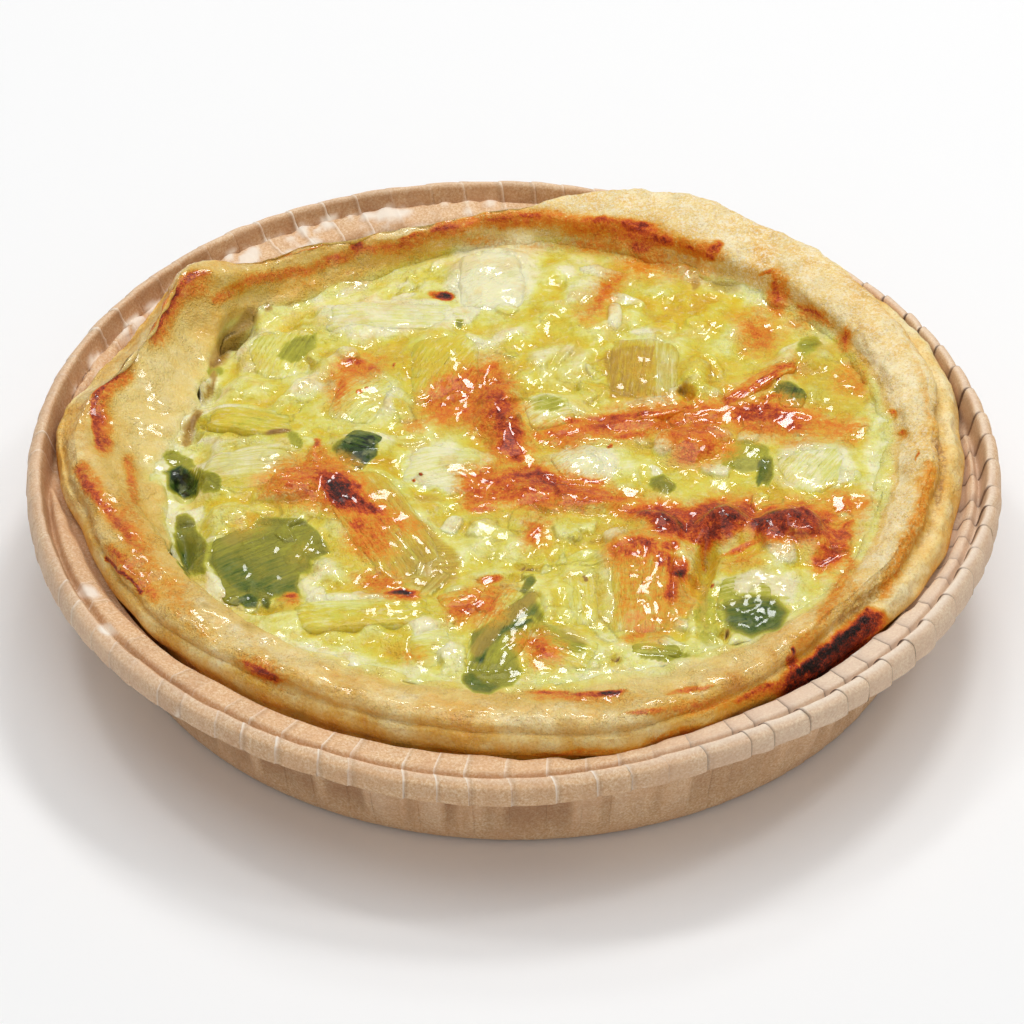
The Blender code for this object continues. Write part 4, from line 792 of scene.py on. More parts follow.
def area_depth(across, down, outline):
    """How far pixels lie inside a closed outline, negative outside it."""
    inside = np.zeros(np.shape(across), bool)
    for (x0, y0), (x1, y1) in zip(outline, outline[1:] + outline[:1]):
        if y0 != y1:
            inside ^= ((y0 > down) != (y1 > down)) & (across < x0 + (down - y0) * (x1 - x0) / (y1 - y0))
    return np.where(inside, 1, -1) * edge_distance(across, down, outline + outline[:1])


def mark_distance(across, down, mark):
    """How far pixels lie from a mark's middle line or middle point, in its own half widths."""
    if isinstance(mark[0], tuple):
        return edge_distance(across, down, mark[0]) / mark[1]
    px, py, half_width, half_height, turn = mark[:5]
    u, v = turned(across - px, py - down, turn)
    return np.hypot(u / half_width, v / half_height)


def wavy_pixel(points, amount=1.0):
    """Where points lie in the photograph, shifted a little so that drawn edges come out natural."""
    across, down = photo_pixel(points)
    across = across + amount * (3.0 * noise(points, 2.6, 71) + 1.4 * noise(points, 0.9, 72))
    return across, down + amount * (2.0 * noise(points, 2.6, 73) + 1.0 * noise(points, 0.9, 74))


def strokes(points, marks, inner, outer):
    """For each mark, its strength and how much of it each point gets: all at inner, none at outer."""
    across, down = wavy_pixel(points)
    for mark in marks:
        yield mark[-1], 1 - soft_step(inner, outer, mark_distance(across, down, mark))


def merged(values):
    """The largest of several values at each point, without creases where they meet."""
    return sum(value ** 8 for value in values) ** 0.125


def strongest(points, marks, inner, outer):
    """The marks' strength at points, the strongest where they overlap."""
    return merged([strength * share for strength, share in strokes(points, marks, inner, outer)])


def painted(points):
    """What the photograph shows on the food at these points, as values for the materials."""
    tone, weight = 0, 0.25
    for strength, share in strokes(points, TONE, 0.3, 1.5):
        tone = tone + share * strength
        weight = weight + share
    tone = tone / weight
    browning = [0.95 * strongest(points, SOFT_TOAST, 0.0, 1.35),
                0.94 * strongest(points, HARD_TOAST, 0.25, 1.35)]
    green, tan, height = strongest(points, GREEN, 0.6, 1.15), 0 * tone, 0 * tone
    across, down = wavy_pixel(points, 0.6)
    for area_green, area_tone, area_tan, rise, softness, outline in AREAS:
        depth = area_depth(across, down, outline)
        share = soft_step(-softness, softness, depth)
        green = green * (1 - share) + area_green * share
        tone = tone * (1 - share) + area_tone * share
        tan = tan * (1 - share) + area_tan * share
        height = height + rise * soft_step(-2, 9, depth)
    across, down = wavy_pixel(points, 1.6)
    for strength, softness, outline in BROWNED:
        depth = area_depth(across, down, outline)
        browning.append(strength * soft_step(-1.6 * softness, 1.4 * softness, depth))
        browning.append(0.27 * soft_step(-26, 2, depth))
    toast, shade = np.minimum(merged(browning), 1.05), strongest(points, SHADE, 0.45, 1.2)
    return {"toast": toast, "tone": tone, "green": green, "tan": tan, "height": height, "shade": shade}


# Colours by depth of browning, tone, greenness and painted shade
TOAST_STOPS = ((0.0, "#DCC040"), (0.16, "#E2B030"), (0.30, "#E49824"), (0.44, "#E27A18"), (0.56, "#D05414"),
               (0.68, "#AA3610"), (0.80, "#76240E"), (0.90, "#3E1610"), (1.0, "#120906"))
LEMON_STOPS = ((0.0, "#F0EABC"), (0.25, "#E4E086"), (0.5, "#DCCE4C"), (0.75, "#DCBE2A"), (1.0, "#D4A418"))
GREEN_STOPS = ((0.0, "#CFCB50"), (0.25, "#BDB83A"), (0.45, "#A09C2C"), (0.62, "#888428"), (0.80, "#5C6C1C"),
               (0.92, "#324C12"), (1.0, "#16220A"))
SHADE_STOPS = ((0.0, "#CDB04A"), (0.4, "#B8923E"), (0.65, "#9A7438"), (0.85, "#5E4A20"), (1.0, "#171206"))
BAKE_STOPS = ((0.0, "#F4E3B0"), (0.20, "#EED086"), (0.40, "#E6B452"), (0.58, "#DA942E"), (0.78, "#B06C26"),
              (1.0, "#7E421A"))
GLAZE_STOPS = ((0.0, "#F0DEA2"), (0.3, "#E8CC78"), (0.6, "#E0B24A"), (1.0, "#CE902A"))
KRAFT_STOPS = ((0.36, "#CE9E6E"), (0.5, "#E2BC90"), (0.64, "#F0D8B6"))


def linear(colour):
    """An sRGB hex colour as the linear values that a shader takes."""
    part = np.array([int(colour[i:i + 2], 16) for i in (1, 3, 5)]) / 255
    part = np.where(part <= 0.04045, part / 12.92, ((part + 0.055) / 1.055) ** 2.4)
    return (*part, 1)


def new_material(name):
    """A material with a Principled shader; gives the material and the shader."""
    material = bpy.data.materials.new(name)
    material.use_nodes = True
    return material, material.node_tree.nodes["Principled BSDF"]


def plug(material, node, **inputs):
    """Set or link a node's inputs, by name with _ for a space, or by number after an i."""
    for key, value in inputs.items():
        socket = node.inputs[int(key[1:])] if key[1:].isdigit() else node.inputs[key.replace("_", " ")]
        if isinstance(value, bpy.types.NodeSocket):
            material.node_tree.links.new(value, socket)
        else:
            socket.default_value = value


def add(material, kind, settings=None, **inputs):
    """Add a node, set its properties, and set or link its inputs."""
    node = material.node_tree.nodes.new(kind)
    for key, value in (settings or {}).items():
        setattr(node, key, value)
    plug(material, node, **inputs)
    return node


def ramp(material, factor, stops):
    """A colour ramp through (position, hex colour) stops."""
    node = add(material, "ShaderNodeValToRGB", i0=factor)
    elements = node.color_ramp.elements
    while len(elements) < len(stops):
        elements.new(0.5)
    for element, (position, colour) in zip(elements, stops):
        element.position = position
        element.color = linear(colour)
    return node.outputs["Color"]


def mixed(material, share, first, second, blend="MIX"):
    """Mix two colours by a share."""
    settings = {"data_type": "RGBA", "blend_type": blend}
    return add(material, "ShaderNodeMix", settings, i0=share, i6=first, i7=second).outputs[2]


def figure(material, operation, first, second=0.0, third=0.0):
    """One step of arithmetic."""
    node = add(material, "ShaderNodeMath", {"operation": operation}, i0=first, i1=second, i2=third)
    return node.outputs[0]


def product(material, first, second):
    """Two values multiplied."""
    return figure(material, "MULTIPLY", first, second)


def scaled(material, value, factor, offset):
    """A value times a factor, and something added."""
    return figure(material, "MULTIPLY_ADD", value, factor, offset)


def attribute(material, name):
    """A value kept on the mesh's points."""
    return add(material, "ShaderNodeAttribute", {"attribute_name": name}).outputs["Fac"]


def grain(material, size_mm, detail=3.0, roughness=0.55, stretch=None, vector=None):
    """Noise with lumps about size_mm apart, in the object's own space or along a vector."""
    if vector is None:
        vector = add(material, "ShaderNodeTexCoord").outputs["Object"]
    if stretch:
        vector = add(material, "ShaderNodeMapping", Vector=vector, Scale=stretch).outputs[0]
    node = add(material, "ShaderNodeTexNoise", {"noise_dimensions": "3D"}, Vector=vector,
               Scale=1.0 / (size_mm * METRES), Detail=detail, Roughness=roughness)
    return node.outputs["Fac"]


def eased(material, value, low, high):
    """Ease a value from 0 at low to 1 at high."""
    settings = {"interpolation_type": "SMOOTHSTEP"}
    return add(material, "ShaderNodeMapRange", settings, i0=value, i1=low, i2=high).outputs[0]


def patches(material, size_mm, low, high, detail=4.0, roughness=0.55, stretch=None, vector=None):
    """Noise eased to patches: none where it is below low, full above high."""
    return eased(material, grain(material, size_mm, detail, roughness, stretch, vector), low, high)


def uneven(material, value, size_mm, amount, detail=3.0):
    """Add noise to a value, as much above as below."""
    shift = scaled(material, grain(material, size_mm, detail, 0.6), amount, -amount / 2)
    return figure(material, "ADD", value, shift)


def laid(material, base, share, colour, amount=1.0):
    """Lay a colour over a base colour, by a share times an amount."""
    return mixed(material, product(material, share, amount), base, linear(colour))


def blotched(material, base, amber):
    """Lay patches of lime and amber over a base colour."""
    base = laid(material, base, patches(material, 5.0, 0.56, 0.66, 3.0), "#CED05A", 0.30)
    return laid(material, base, patches(material, 4.2, 0.50, 0.64), "#E0B440", amber)


def greened(material, base, ribs):
    """Lay green leek with pale haze over a base colour, where the points' values say."""
    green = uneven(material, uneven(material, attribute(material, "green"), 3.6, 0.34), 0.9, 0.16)
    green = scaled(material, ribs, 0.20, green)
    base = mixed(material, eased(material, green, 0.08, 0.34), base, ramp(material, green, GREEN_STOPS))
    haze = product(material, patches(material, 1.5, 0.50, 0.68), eased(material, green, 0.55, 1.0))
    return laid(material, base, haze, "#9CA262", 0.55)


def browned(material, base, grain_mm, ribs):
    """Lay speckled browning over a base colour, where the points' values say."""
    toast = attribute(material, "toast")
    speckle = scaled(material, grain(material, grain_mm, 5.0, 0.72), 1.80, -0.94)
    fleck = scaled(material, patches(material, 0.34, 0.50, 0.70, 2.0), -0.26, 0.05)
    speckle = scaled(material, ribs, 0.34, figure(material, "ADD", speckle, fleck))
    level = scaled(material, speckle, figure(material, "MINIMUM", toast, 0.55), toast)
    return mixed(material, eased(material, level, 0.06, 0.36), base, ramp(material, level, TOAST_STOPS))


def tinted(material, base, toast_grain_mm, streaks=0.5):
    """Lay green leek, painted shade in hollows and gaps, and browning over a base colour."""
    ribs = figure(material, "SUBTRACT", streaks, 0.5)
    base = greened(material, base, ribs)
    # painted shade: darker and browner where the points' shade value says
    shade = attribute(material, "shade")
    base = mixed(material, eased(material, shade, 0.05, 0.55), base, ramp(material, shade, SHADE_STOPS))
    return browned(material, base, toast_grain_mm, ribs)


def glossy(material, shader):
    """Set a wet, buttery film over a duller inside, and the soft light inside cooked food."""
    toast = attribute(material, "toast")
    plug(material, shader, Roughness=0.48, IOR=1.40, Specular_IOR_Level=0.22,
         Coat_Weight=scaled(material, toast, 0.25, 0.6), Coat_Roughness=0.07,
         Subsurface_Weight=scaled(material, toast, -0.33, 0.35),
         Subsurface_Radius=(1.0, 0.75, 0.25), Subsurface_Scale=2.0 * METRES)


def raised(material, height, height_mm, normal=None):
    """Normals of a surface that a height from 0 to 1 raises by up to height_mm, over other normals."""
    node = add(material, "ShaderNodeBump", Height=height, Distance=height_mm * METRES, Strength=1.0)
    if normal is not None:
        plug(material, node, Normal=normal)
    return node.outputs["Normal"]


def bumped(material, layers):
    """Normals from noise: size in mm and height in mm for each layer."""
    normal = None
    for size, height in layers:
        normal = raised(material, grain(material, size, 2.0), height, normal)
    return normal


def directions(material):
    """Place on a piece along and across its fibres."""
    along, across = attribute(material, "along"), attribute(material, "across")
    return add(material, "ShaderNodeCombineXYZ", X=along, Y=across).outputs[0]


def filmed(material, normal, layers, vector=None, wet=0.0):
    """Ripples in the film of butter and egg, stronger where it browned, to catch light in points."""
    where = patches(material, 4.0, 0.42, 0.58, 2.0)
    amount = scaled(material, where, 0.6, scaled(material, wet, 0.5, 0.3))
    amount = scaled(material, attribute(material, "toast"), 1.4, amount)
    for size, height, stretch in layers:
        ripple = grain(material, size, 1.0, 0.5, (stretch, 1.0, 1.0), vector)
        normal = raised(material, product(material, ripple, amount), height, normal)
    return normal


def fibres(material):
    """Streaks from 0 to 1 that run along a piece of leek, in its own directions, about 0.5 mm apart."""
    return patches(material, 0.55, 0.30, 0.70, 4.0, 0.65, (0.08, 1.0, 1.0), directions(material))


def streaked(material, base, streaks):
    """Lay tan streaks of browned fibres over a base colour, where the points' values ask for them."""
    strength = scaled(material, streaks, 0.7, 0.3)
    return laid(material, base, strength, "#B68E34", attribute(material, "tan"))


def ribbed(material, streaks, height_mm, film):
    """Normals of ribs that run along the fibres, over the normals of the film."""
    threads = product(material, streaks, attribute(material, "fibre"))
    return raised(material, threads, height_mm, film)


def custard_material():
    """Baked egg custard: cream to lemon yellow, glossy with butterfat, browned where it stands up."""
    material, shader = new_material("baked_egg_custard")
    streaks = fibres(material)
    tone = uneven(material, uneven(material, attribute(material, "tone"), 3.0, 2.2), 1.0, 1.0)
    threads = product(material, attribute(material, "fibre"), 0.9)
    tone = scaled(material, figure(material, "SUBTRACT", streaks, 0.5), threads, tone)
    base = ramp(material, scaled(material, tone, 0.42, 0.42), LEMON_STOPS)
    base = blotched(material, base, 0.40)
    # Pale curd flecks, which also stand in for painted glints
    base = laid(material, base, patches(material, 0.9, 0.52, 0.68, 4.0, 0.65), "#F4EDC4", 0.30)
    base = laid(material, base, patches(material, 0.7, 0.55, 0.68, 4.0, 0.65), "#C09C2C", 0.30)
    base = streaked(material, base, streaks)
    glossy(material, shader)
    ripples = ((0.7, 0.20, 1.0), (0.38, 0.22, 1.0), (0.20, 0.14, 1.0))
    film = filmed(material, bumped(material, ((2.2, 0.10),)), ripples)
    plug(material, shader, Base_Color=tinted(material, base, 1.2),
         Normal=ribbed(material, streaks, 0.10, film))
    return material


def leek_material():
    """Boiled leek: clear pale flesh to dark green leaf, ribbed along its fibres, with a wet gloss."""
    material, shader = new_material("boiled_leek")
    streaks = fibres(material)
    tone = uneven(material, attribute(material, "tone"), 3.2, 1.7)
    tone = figure(material, "ADD", tone, scaled(material, streaks, 0.7, -0.35))
    base = ramp(material, scaled(material, tone, 0.42, 0.40), LEMON_STOPS)
    # Pale flecks along the fibres, which also stand in for painted glints
    fleck = patches(material, 0.7, 0.50, 0.66, 4.0, 0.65, (0.4, 1.0, 1.0), directions(material))
    base = laid(material, base, fleck, "#F4EFD0", 0.35)
    base = streaked(material, blotched(material, base, 0.30), streaks)
    glossy(material, shader)
    ripples = ((0.7, 0.20, 0.4), (0.36, 0.20, 0.4), (0.20, 0.13, 0.6))
    film = filmed(material, bumped(material, ((1.8, 0.08),)), ripples, directions(material))
    plug(material, shader, Base_Color=tinted(material, base, 0.9, streaks),
         Normal=ribbed(material, streaks, 0.07, film))
    return material


def baked_pastry(material, custard):
    """Colour of bare pastry, under a film of egg and then custard where they ran over it."""
    bake = uneven(material, uneven(material, attribute(material, "bake"), 3.2, 0.75, 4.0), 0.9, 0.30)
    tone = uneven(material, uneven(material, attribute(material, "tone"), 2.6, 1.6), 0.9, 0.6)
    base = ramp(material, bake, BAKE_STOPS)
    film = ramp(material, scaled(material, tone, 0.42, 0.46), GLAZE_STOPS)
    base = mixed(material, eased(material, custard, 0.35, 0.65), base, film)
    lemon = ramp(material, scaled(material, tone, 0.42, 0.36), LEMON_STOPS)
    return mixed(material, eased(material, custard, 1.1, 1.9), base, lemon)


def floured(material, base, custard):
    """Lay flour, dark crumbs, pores and pale dust over the colour of the pastry."""
    flour, crumb = attribute(material, "flour"), attribute(material, "crumb")
    powder = product(material, patches(material, 0.6, 0.48, 0.66, 4.0, 0.7), flour)
    base = laid(material, base, powder, "#F4EAD2", 0.55)
    base = laid(material, base, patches(material, 0.8, 0.42, 0.58, 4.0, 0.7), "#A87A48", crumb)
    open_pores = scaled(material, eased(material, custard, 0.3, 1.0), -0.30, 0.42)
    base = laid(material, base, patches(material, 0.36, 0.50, 0.64, 4.0, 0.72), "#C8903E", open_pores)
    dust = scaled(material, flour, 0.35, 0.15)
    return laid(material, base, patches(material, 0.28, 0.50, 0.64, 4.0, 0.72), "#FAEFD2", dust)


def crust_material():
    """Shortcrust pastry: floury cream on its top, golden to tan where the oven caught it, glazed inside."""
    material, shader = new_material("shortcrust_pastry")
    custard = uneven(material, attribute(material, "custard"), 2.4, 0.8)
    base = floured(material, baked_pastry(material, custard), custard)
    glaze = attribute(material, "glaze")
    ripples = ((0.5, 0.18, 1.0), (0.26, 0.18, 1.0), (0.15, 0.09, 1.0))
    skin = bumped(material, ((2.2, 0.12), (0.8, 0.07)))
    plug(material, shader, Base_Color=tinted(material, base, 0.8), Roughness=0.55, IOR=1.45,
         Specular_IOR_Level=0.35, Coat_Weight=product(material, glaze, 0.75), Coat_Roughness=0.10,
         Subsurface_Weight=0.18, Subsurface_Radius=(1.0, 0.7, 0.35), Subsurface_Scale=1.5 * METRES,
         Normal=filmed(material, skin, ripples, wet=glaze))
    return material


def paper_material():
    """Kraft paper pressed into shape: brown, matt, with short fibres and light folds; painted shade in its folds
    and hollows, painted shadow in its open creases, and pale wear mixed with painted light.
    """
    material, shader = new_material("pressed_kraft_paper")
    base = ramp(material, grain(material, 0.32, 4.0, 0.75), KRAFT_STOPS)
    base = laid(material, base, patches(material, 5.0, 0.35, 0.65), "#DCA97C", 0.35)
    base = laid(material, base, patches(material, 1.7, 0.44, 0.62, 4.0, 0.65), "#C0906A", 0.22)
    # painted shade
    base = mixed(material, attribute(material, "shade"), base, linear("#AC907A"), "MULTIPLY")
    # pale wear mixed with painted light
    base = laid(material, base, attribute(material, "worn"), "#F2E6D6")
    # painted shadow in the open creases
    base = laid(material, base, attribute(material, "crease"), "#4A2A18")
    plug(material, shader, Base_Color=base, Roughness=0.62, IOR=1.45,
         Normal=bumped(material, ((2.5, 0.12), (0.9, 0.05), (0.25, 0.02))))
    return material


def tray_section():
    """Closed section of the tray: radius, height, share of the pleats' depth, share of the rim's bends."""
    return ((0.96 * BASE_RADIUS, 0.0, 0.0, 0.0), (BASE_RADIUS, 0.15, 0.1, 0.0),
            (BASE_RADIUS + 0.7, 1.6, 0.5, 0.0),
            (0.5 * (BASE_RADIUS + WALL_TOP_RADIUS) + PAPER, 0.5 * WALL_TOP, 1.0, 0.0),
            (WALL_TOP_RADIUS + PAPER, WALL_TOP - 0.3, 1.0, 0.1),
            (RIM_RADIUS - 2.1, LIP_BOTTOM - 0.5, 0.4, 0.9),
            (RIM_RADIUS - 0.55, LIP_BOTTOM - 0.15, 1.0, 1.0), (RIM_RADIUS - 0.15, LIP_BOTTOM + 0.2, 1.0, 1.0),
            (RIM_RADIUS - 0.18, RIM_HEIGHT - 2.4, 1.0, 1.0),
            (RIM_RADIUS - 0.55, RIM_HEIGHT - 0.75, 1.0, 1.0),
            (RIM_RADIUS - 1.45, RIM_HEIGHT - 0.05, 1.0, 1.0),
            (RIM_RADIUS - 2.1, RIM_HEIGHT - 0.6, 0.8, 1.0),
            (LEDGE_RADIUS + 0.3, LEDGE_HEIGHT + 1.0, 0.4, 0.9),
            (LEDGE_RADIUS - 0.8, LEDGE_HEIGHT + 0.5, 0.35, 0.8),
            (WALL_TOP_RADIUS + 0.6, LEDGE_HEIGHT + 0.1, 0.3, 0.2),
            (WALL_TOP_RADIUS, WALL_TOP, 0.6, 0.1),
            (BASE_RADIUS - PAPER, 1.4, 0.3, 0.0), (0.96 * BASE_RADIUS, PAPER, 0.0, 0.0))


def pleat_grid():
    """Many angles round the tray, how far across its pleat each lies, and the strengths of the creases."""
    rng = np.random.default_rng(4)
    creases = crease_angles()
    widths = np.diff(np.append(creases, creases[0] + 360))
    strengths = rng.uniform(0.35, 1.0, len(creases))
    strengths[np.isin(np.round(creases, 3), np.round(CREASES, 3))] = 1.25
    share = np.concatenate([[0.0, 0.02], np.linspace(0.08, 0.92, PLEAT_SAMPLES - 4), [0.98, 0.995]])
    angles = (creases[:, None] + share * widths[:, None]).ravel()
    after = np.repeat(strengths, PLEAT_SAMPLES)
    before = np.repeat(np.roll(strengths, -1), PLEAT_SAMPLES)
    return angles, np.tile(share, len(creases)), after, before


def wall_flutes(angles):
    """Soft folds in and out, pressed into the tray's wall."""
    around = WALL_TOP_RADIUS * compass(angles)
    return noise(around, 3.6, 45) + 0.7 * noise(around, 1.7, 46)


def on_wall(height):
    """Which heights belong to the tray's wall."""
    return soft_step(0.5, 6, height) * (1 - soft_step(14.0, 15.6, height))


def tray_inside(rows):
    """Which rows of the tray face in."""
    return np.arange(len(rows))[:, None] >= sum(TRAY_STEPS[:TRAY_INNER_START])


def tray_shape(rows):
    """The tray's points, and how crumpled it is: overlapping pleats at the right, light folds elsewhere."""
    angles, share, after, before = pleat_grid()
    radius, height, pleat, rim = rows.T[:, :, None]
    bulge = 0.35 * (1 - (2 * share - 1) ** 2) * before
    overlap = 0.45 + 0.55 * side_share(angles, *PLEATED_SIDE)
    saw = overlap * (0.5 * (share - 0.5) * (after + before) + bulge)
    r = radius + pleat * PLEAT_DEPTH * saw + rim * ring_curve(RIM_DENT, angles)
    r = r + 0.60 * on_wall(height) * wall_flutes(angles)
    z = height + rim * ring_curve(RIM_SAG, angles) * soft_step(8, 15, height)
    z = z + 0.10 * pleat * saw * soft_step(16, 20, height)
    foot = ring_curve(CRUST_FOOT, angles)
    start = np.maximum(1.01 * foot + 0.3, WALL_TOP_RADIUS)
    room = (1 - soft_step(59.2, 61.2, foot)) * tray_inside(rows)
    shelf = 1 - soft_step(LEDGE_RADIUS - 0.4, LEDGE_RADIUS + 0.6, radius)
    z = z + 2.0 * room * shelf * soft_step(start, start + 0.9, radius)
    z = z - 1.2 * side_share(angles, *LOW_RIM_SIDE) * soft_step(RIM_HEIGHT - 2.4, RIM_HEIGHT, height)
    turn = np.radians(angles + 0.9 * soft_step(LEDGE_RADIUS, RIM_RADIUS, radius))
    x, y = r * np.cos(turn) + rim * RIM_OFFSET[0], r * np.sin(turn) + rim * RIM_OFFSET[1]
    grid = np.stack([x, y, z + 0 * r], -1)
    rough = 0.12 * layered(grid, 5.0, 41, 3) * soft_step(1.0, 4.0, height)
    ledge = soft_step(LEDGE_HEIGHT - 0.4, LEDGE_HEIGHT + 0.2, height) * (1 - soft_step(18.4, 19.4, height))
    crumpled = side_share(angles, *CRUMPLED_SIDE) * ledge * tray_inside(rows)
    crumple = np.abs(layered(grid, 3.4, 47, 2)) * crumpled
    return grid + (rough + 0.7 * crumple)[..., None] * grid_normals(grid), crumple


def tray_paint(rows, grid, crumple):
    """Where the tray's paper shows painted shadow in open creases, painted shade in its folds, under its lip and
    pleats, and pale wear mixed with painted light on its lit edges and ridges.
    """
    angles, share, after, before = pleat_grid()
    radius, height, pleat, _ = rows.T[:, :, None]
    inward, wall, flute = tray_inside(rows), on_wall(height), wall_flutes(angles)
    outward = ~inward
    right = side_share(angles, *PLEATED_SIDE)
    left = soft_step(90, 130, angles) * (1 - soft_step(210, 250, angles))
    upper = soft_step(14.5, 15.5, height)
    toward = -np.sin(np.radians(angles))
    main = upper * np.clip(before, 0, 1.1) ** (3 - 2 * right)
    line = np.clip(1 - np.minimum(share * 22, (1 - share) * 60), 0, 1) * main
    beside = np.clip(1 - np.abs(share - 0.09) * 18, 0, 1) * main * (1 - right)
    depth = (0.40 + 0.60 * pleat) * (0.45 + 0.55 * soft_step(0.3, 1.0, before))
    # Painted shadow: dark lines where one pleat's edge lies over the next, and beside the pale creases
    crease = line * right * depth + 0.16 * beside
    # Painted shade: on the inward slope under the rim, deeper at the left, in the hollows of the wall's folds,
    # under the overlapping pleats, on some pleats and just under the lip
    slope = soft_step(LEDGE_RADIUS - 0.2, LEDGE_RADIUS + 0.3, radius)
    slope = slope * (1 - soft_step(RIM_RADIUS - 2.2, RIM_RADIUS - 1.4, radius))
    shade = slope * inward * (0.30 + 0.15 * left)
    shade = shade + wall * outward * np.clip(0.20 - 1.6 * flute, 0, 0.7) * (0.80 - 0.40 * right)
    under = np.clip(1 - 2.6 * share, 0, 1) * np.clip(after, 0, 1)
    shade = shade + right * inward * upper * (0.12 + 0.60 * under)
    shade = shade + 0.30 * np.clip(0.95 - after, 0, 0.6) * upper * (1 - right)
    below_lip = 1 - soft_step(RIM_HEIGHT - 3.2, RIM_HEIGHT - 1.4, height)
    shade = shade + 0.18 * below_lip * upper * outward
    # Pale wear on creases, crumples and scuffs, mixed with painted light on the rim's top, the front-right
    # flange, the left bead and the ridges of the wall's folds
    worn = soft_step(RIM_HEIGHT - 0.5, RIM_HEIGHT, height) * (0.18 + 0.20 * right)
    worn = worn + 0.66 * line * (1 - right) * (0.8 + 0.5 * noise(grid, 2.5, 48))
    worn = worn + right * upper * (0.16 * inward + 0.30 * soft_step(-0.1, 0.5, toward))
    worn = worn + 0.20 * left * soft_step(RIM_RADIUS - 1.2, RIM_RADIUS - 0.5, radius)
    worn = worn + 0.9 * soft_step(0.25, 0.6, crumple)
    worn = worn + 0.12 * wall * outward * np.clip(2 * flute, 0, 1) * (1 - 0.6 * right)
    for strength, cover in strokes(grid, TRAY_MARKS, 0.5, 1.1):
        worn = worn + strength * cover * upper * soft_step(-0.5, -0.1, toward)
    marks = {"crease": crease, "shade": shade, "worn": worn}
    return {key: with_ends(np.clip(value, 0, 1), 0, 0) for key, value in marks.items()}


def make_tray(material):
    """Paper tray at full detail."""
    rows = smooth_rows(tray_section(), TRAY_STEPS)
    grid, crumple = tray_shape(rows)
    points = with_ends(grid, (0, 0, 0), (0, 0, PAPER))
    faces = ring_faces(*grid.shape[:2])
    tray = build_mesh("tray_kraft_paper", points, faces, tray_paint(rows, grid, crumple))
    tray.data.materials.append(material)
    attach(tray, "root")
    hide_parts("paper_tray")
    return tray


def crust_shape():
    """The pastry's points, their angles, how far along the section each row lies, and how crumbly it is."""
    degrees = np.arange(CRUST_STATIONS) * 360 / CRUST_STATIONS
    rows = smooth_rows(crust_rings(degrees), CRUST_STEPS)
    row = [i + j / count for i, count in enumerate(CRUST_STEPS) for j in range(count)] + [len(CRUST_STEPS)]
    row = np.array(row)[:, None]
    a = np.radians(degrees)
    grid = np.stack([rows[:, 0] * np.cos(a), rows[:, 0] * np.sin(a), rows[:, 1]], -1)
    foot = 1 - soft_step(4.2, 5.6, row)
    grid = grid * np.where(row > 2.5, 1 + 0.010 * foot, 1)[..., None] ** (1, 1, 0)
    normals = grid_normals(grid)
    top = soft_step(3.5, 5, row) * (1 - soft_step(11.6, 12.4, row))
    crumb = strongest(grid, CRUMB, 0.3, 1.3)
    lumps = 0.42 * layered(grid, 6.0, 3, 2) + 0.20 * layered(grid, 2.2, 5, 3)
    lumps = lumps + 0.06 * layered(grid, 0.7, 8, 2)
    lumps = lumps + 0.25 * layered(grid, 3.2, 6, 2) * soft_step(10.0, 10.8, row)
    lumps = lumps - 0.5 * crumb * np.abs(noise(grid, 0.9, 9))
    grid = grid + normals * (top * lumps)[..., None]
    pits = soft_step(9.4, 10.6, row) * hollowed(grid[..., 0], grid[..., 1])
    grid = grid - normals * pits[..., None]
    over = np.maximum(grid[..., 2] - CRUST_CREST, 0)
    grid[..., 2] += 0.5 * np.tanh(over / 0.5) - over
    return grid, degrees, row, crumb


def crust_paint(grid, degrees, row, crumb):
    """How baked, glazed, floury and crumbly the pastry is, and where custard ran over it."""
    back = np.sin(np.radians(degrees))
    right = side_share(degrees, *FLAKY_SIDE)
    inside, lower = soft_step(10.2, 11.4, row), 1 - soft_step(3.4, 4.8, row)
    seen = 1 - (1 - soft_step(8.2, 9.2, row)) * soft_step(0.0, 0.35, back)
    paint = {key: value * seen for key, value in painted(grid).items() if key not in ("height", "tan")}
    # Darker towards the foot: painted shade where the pastry meets the tray, over browning that varies at random
    # and is less on the flaky right
    bake = 0.30 + 0.16 * layered(grid, 7.0, 31, 3) + 0.30 * lower - 0.10 * right
    bake = bake + 0.16 * right * soft_step(5.2, 6.2, row) * (1 - soft_step(7.4, 8.4, row))
    wet = inside * (1 - soft_step(0.2, 2.0, grid[..., 2] - ring_curve(FILL_LEVEL, degrees)))
    custard = soft_step(9.2 + 1.2 * right, 10.7 + 0.8 * right, row) + wet
    custard = custard + 0.35 * (1 - right) * soft_step(4.5, 7.0, row) * (1 - custard)
    glaze = np.clip(0.85 * (1 - right) * soft_step(5.0, 7.0, row) + 0.6 * inside, 0, 1)
    glaze = glaze * (1 - 0.4 * inside * (1 - right))
    flour = right * soft_step(5.0, 8.0, row) * (1 - 0.6 * inside) * (1 + 0.6 * soft_step(0.3, 0.9, back))
    paint.update(bake=bake, custard=custard, glaze=glaze, flour=flour, crumb=crumb * seen)
    return {key: with_ends(value, 0, 0) for key, value in paint.items()}


def make_crust(material):
    """Pastry case at full detail: lumps, floury skin, flaky layers on its right, and its browning."""
    grid, degrees, row, crumb = crust_shape()
    points = with_ends(grid, (0, 0, PAPER + 0.5), (0, 0, CASE_FLOOR))
    faces = ring_faces(*grid.shape[:2])
    crust = build_mesh("crust_shortcrust", points, faces, crust_paint(grid, degrees, row, crumb))
    crust.data.materials.append(material)
    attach(crust, "root")
    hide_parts("pastry_crust")
    return crust


